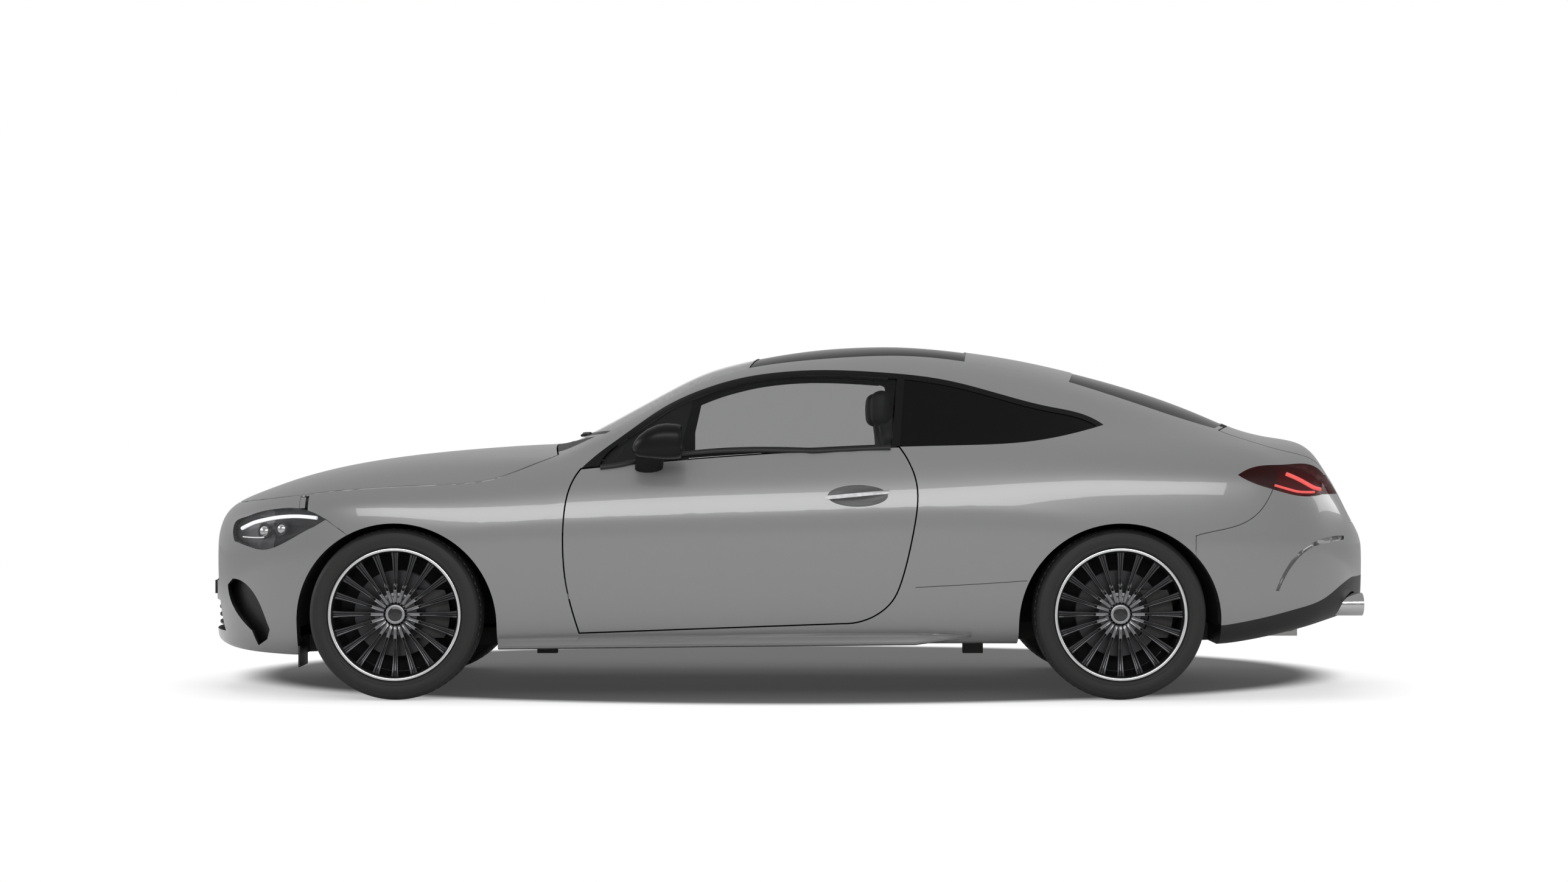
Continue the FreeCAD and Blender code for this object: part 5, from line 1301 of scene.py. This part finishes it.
class COUPE_OT_stage(bpy.types.Operator):
    """White floor and surroundings, soft lamps and the camera"""
    bl_idname = "coupe.stage"
    bl_label = "Stage"

    def execute(self, context):
        scene = context.scene
        scene.view_settings.view_transform = "Standard"
        stage = settings()[2]
        bpy.ops.mesh.primitive_grid_add(x_subdivisions=2, y_subdivisions=2, size=FLOOR_SIZE)
        floor = active()
        floor.name = "studio_floor"
        paint_with(floor, floor_white())
        settle(floor)
        studio_world(scene)
        for name, place, turn, wide, deep, power, reflected in SOFTBOXES:
            bpy.ops.object.light_add(type="AREA", location=place, rotation=[math.radians(a) for a in turn])
            lamp = active()
            lamp.name = name
            lamp.data.shape = "RECTANGLE"
            lamp.data.size = wide
            lamp.data.size_y = deep
            lamp.data.energy = power
            lamp.visible_glossy = reflected
        bpy.ops.object.camera_add(location=(CAMERA_X, -stage.camera_distance, stage.camera_height),
                                  rotation=(math.radians(90), 0, 0))
        camera = active()
        camera.name = "side_camera"
        camera.data.lens = stage.lens
        camera.data.sensor_fit = "HORIZONTAL"
        camera.data.clip_end = 200
        scene.camera = camera
        return {"FINISHED"}


def combined(tree, operation, first, second):
    """One level from two."""
    return add_node(tree, "Math", {0: first, 1: second}, operation=operation).outputs["Value"]


def seen_straight(tree):
    """1 for what the camera sees, also through glass, and 0 for light and reflections."""
    path = add_node(tree, "LightPath", {})
    return combined(tree, "MAXIMUM", path.outputs["Is Camera Ray"], path.outputs["Is Transmission Ray"])


def beyond(tree, place, edge):
    """0 nearer to the origin than the first distance, rising softly to 1 at the second."""
    reach = add_node(tree, "VectorMath", {0: place}, operation="LENGTH").outputs["Value"]
    return add_node(tree, "MapRange", {"Value": reach, "From Min": edge[0], "From Max": edge[1]},
                    interpolation_type="SMOOTHSTEP").outputs["Result"]


def floor_white():
    """Matt floor; the camera sees it white, with a dark oval under the car for its shadow."""
    material = finish("studio_white", FLOOR_COLOUR, 0.9, Specular_IOR_Level=0.1)
    tree = material.node_tree
    seen = seen_straight(tree)
    place = add_node(tree, "TexCoord", {}).outputs["Object"]
    oval = add_node(tree, "Mapping", {"Vector": place, "Location": (0, OVAL_SHIFT, 0),
                                      "Scale": (1 / OVAL_HALVES[0], 1 / OVAL_HALVES[1], 1)})
    outside = beyond(tree, oval.outputs["Vector"], OVAL_EDGE)
    unseen = combined(tree, "SUBTRACT", 1, seen)
    # Painted shadow: the camera sees the oval in the dark colour, while light and reflections find the floor
    # white
    tint(material, combined(tree, "MAXIMUM", outside, unseen), PAINTED_SHADOW_COLOUR, FLOOR_COLOUR)
    shine = combined(tree, "MULTIPLY", spread(material, outside, *FLOOR_SHINE), seen)
    lit = add_node(tree, "Emission", {"Strength": shine})
    near = add_node(tree, "AddShader", {0: shader_of(material).outputs["BSDF"], 1: lit.outputs["Emission"]})
    fade = combined(tree, "MULTIPLY", seen, beyond(tree, place, FLOOR_FADE))
    plain = add_node(tree, "Emission", {})
    mix = add_node(tree, "MixShader", {"Fac": fade, 1: near.outputs["Shader"], 2: plain.outputs["Emission"]})
    tree.links.new(mix.outputs["Shader"], tree.nodes["Material Output"].inputs["Surface"])
    return material


def studio_world(scene):
    """White to the camera, also through glass, and an even soft grey for light and reflections."""
    world = bpy.data.worlds.new("studio_world")
    scene.world = world
    world.use_nodes = True
    tree = world.node_tree
    tree.nodes.clear()
    white = add_node(tree, "Background", {"Color": (1, 1, 1, 1), "Strength": 1})
    grey = add_node(tree, "Background", {"Color": WORLD_GREY, "Strength": WORLD_STRENGTH})
    mix = add_node(tree, "MixShader", {"Fac": seen_straight(tree), 1: grey.outputs["Background"],
                                       2: white.outputs["Background"]})
    add_node(tree, "OutputWorld", {"Surface": mix.outputs["Shader"]})


class COUPE_PT_sidebar(bpy.types.Panel):
    """Shows the coupe's settings and buttons for its building steps in the sidebar"""
    bl_label = "Coupe car"
    bl_idname = "COUPE_PT_sidebar"
    bl_space_type = "VIEW_3D"
    bl_region_type = "UI"
    bl_category = "Coupe"

    def draw(self, context):
        for name in ("coupe_paint", "coupe_wheels", "coupe_stage"):
            group = getattr(context.scene, name)
            for key in group.__annotations__:
                self.layout.prop(group, key)
        for operator in OPERATORS:
            self.layout.operator(operator.bl_idname)


GROUPS = {"coupe_paint": PaintSettings, "coupe_wheels": WheelSettings, "coupe_stage": StageSettings}
OPERATORS = [COUPE_OT_panels, COUPE_OT_wheels, COUPE_OT_lamps, COUPE_OT_cabin, COUPE_OT_trim,
             COUPE_OT_carried, COUPE_OT_stage]


def register():
    for kind in (*GROUPS.values(), *OPERATORS, COUPE_PT_sidebar):
        bpy.utils.register_class(kind)
    for name, kind in GROUPS.items():
        setattr(bpy.types.Scene, name, bpy.props.PointerProperty(type=kind))


def unregister():
    for name in GROUPS:
        delattr(bpy.types.Scene, name)
    for kind in reversed((*GROUPS.values(), *OPERATORS, COUPE_PT_sidebar)):
        bpy.utils.unregister_class(kind)


def main():
    register()
    bpy.ops.coupe.panels()
    bpy.ops.coupe.wheels()
    bpy.ops.coupe.lamps()
    bpy.ops.coupe.cabin()
    bpy.ops.coupe.trim()
    bpy.ops.coupe.carried()
    bpy.ops.coupe.stage()


if __name__ == "__main__":
    main()
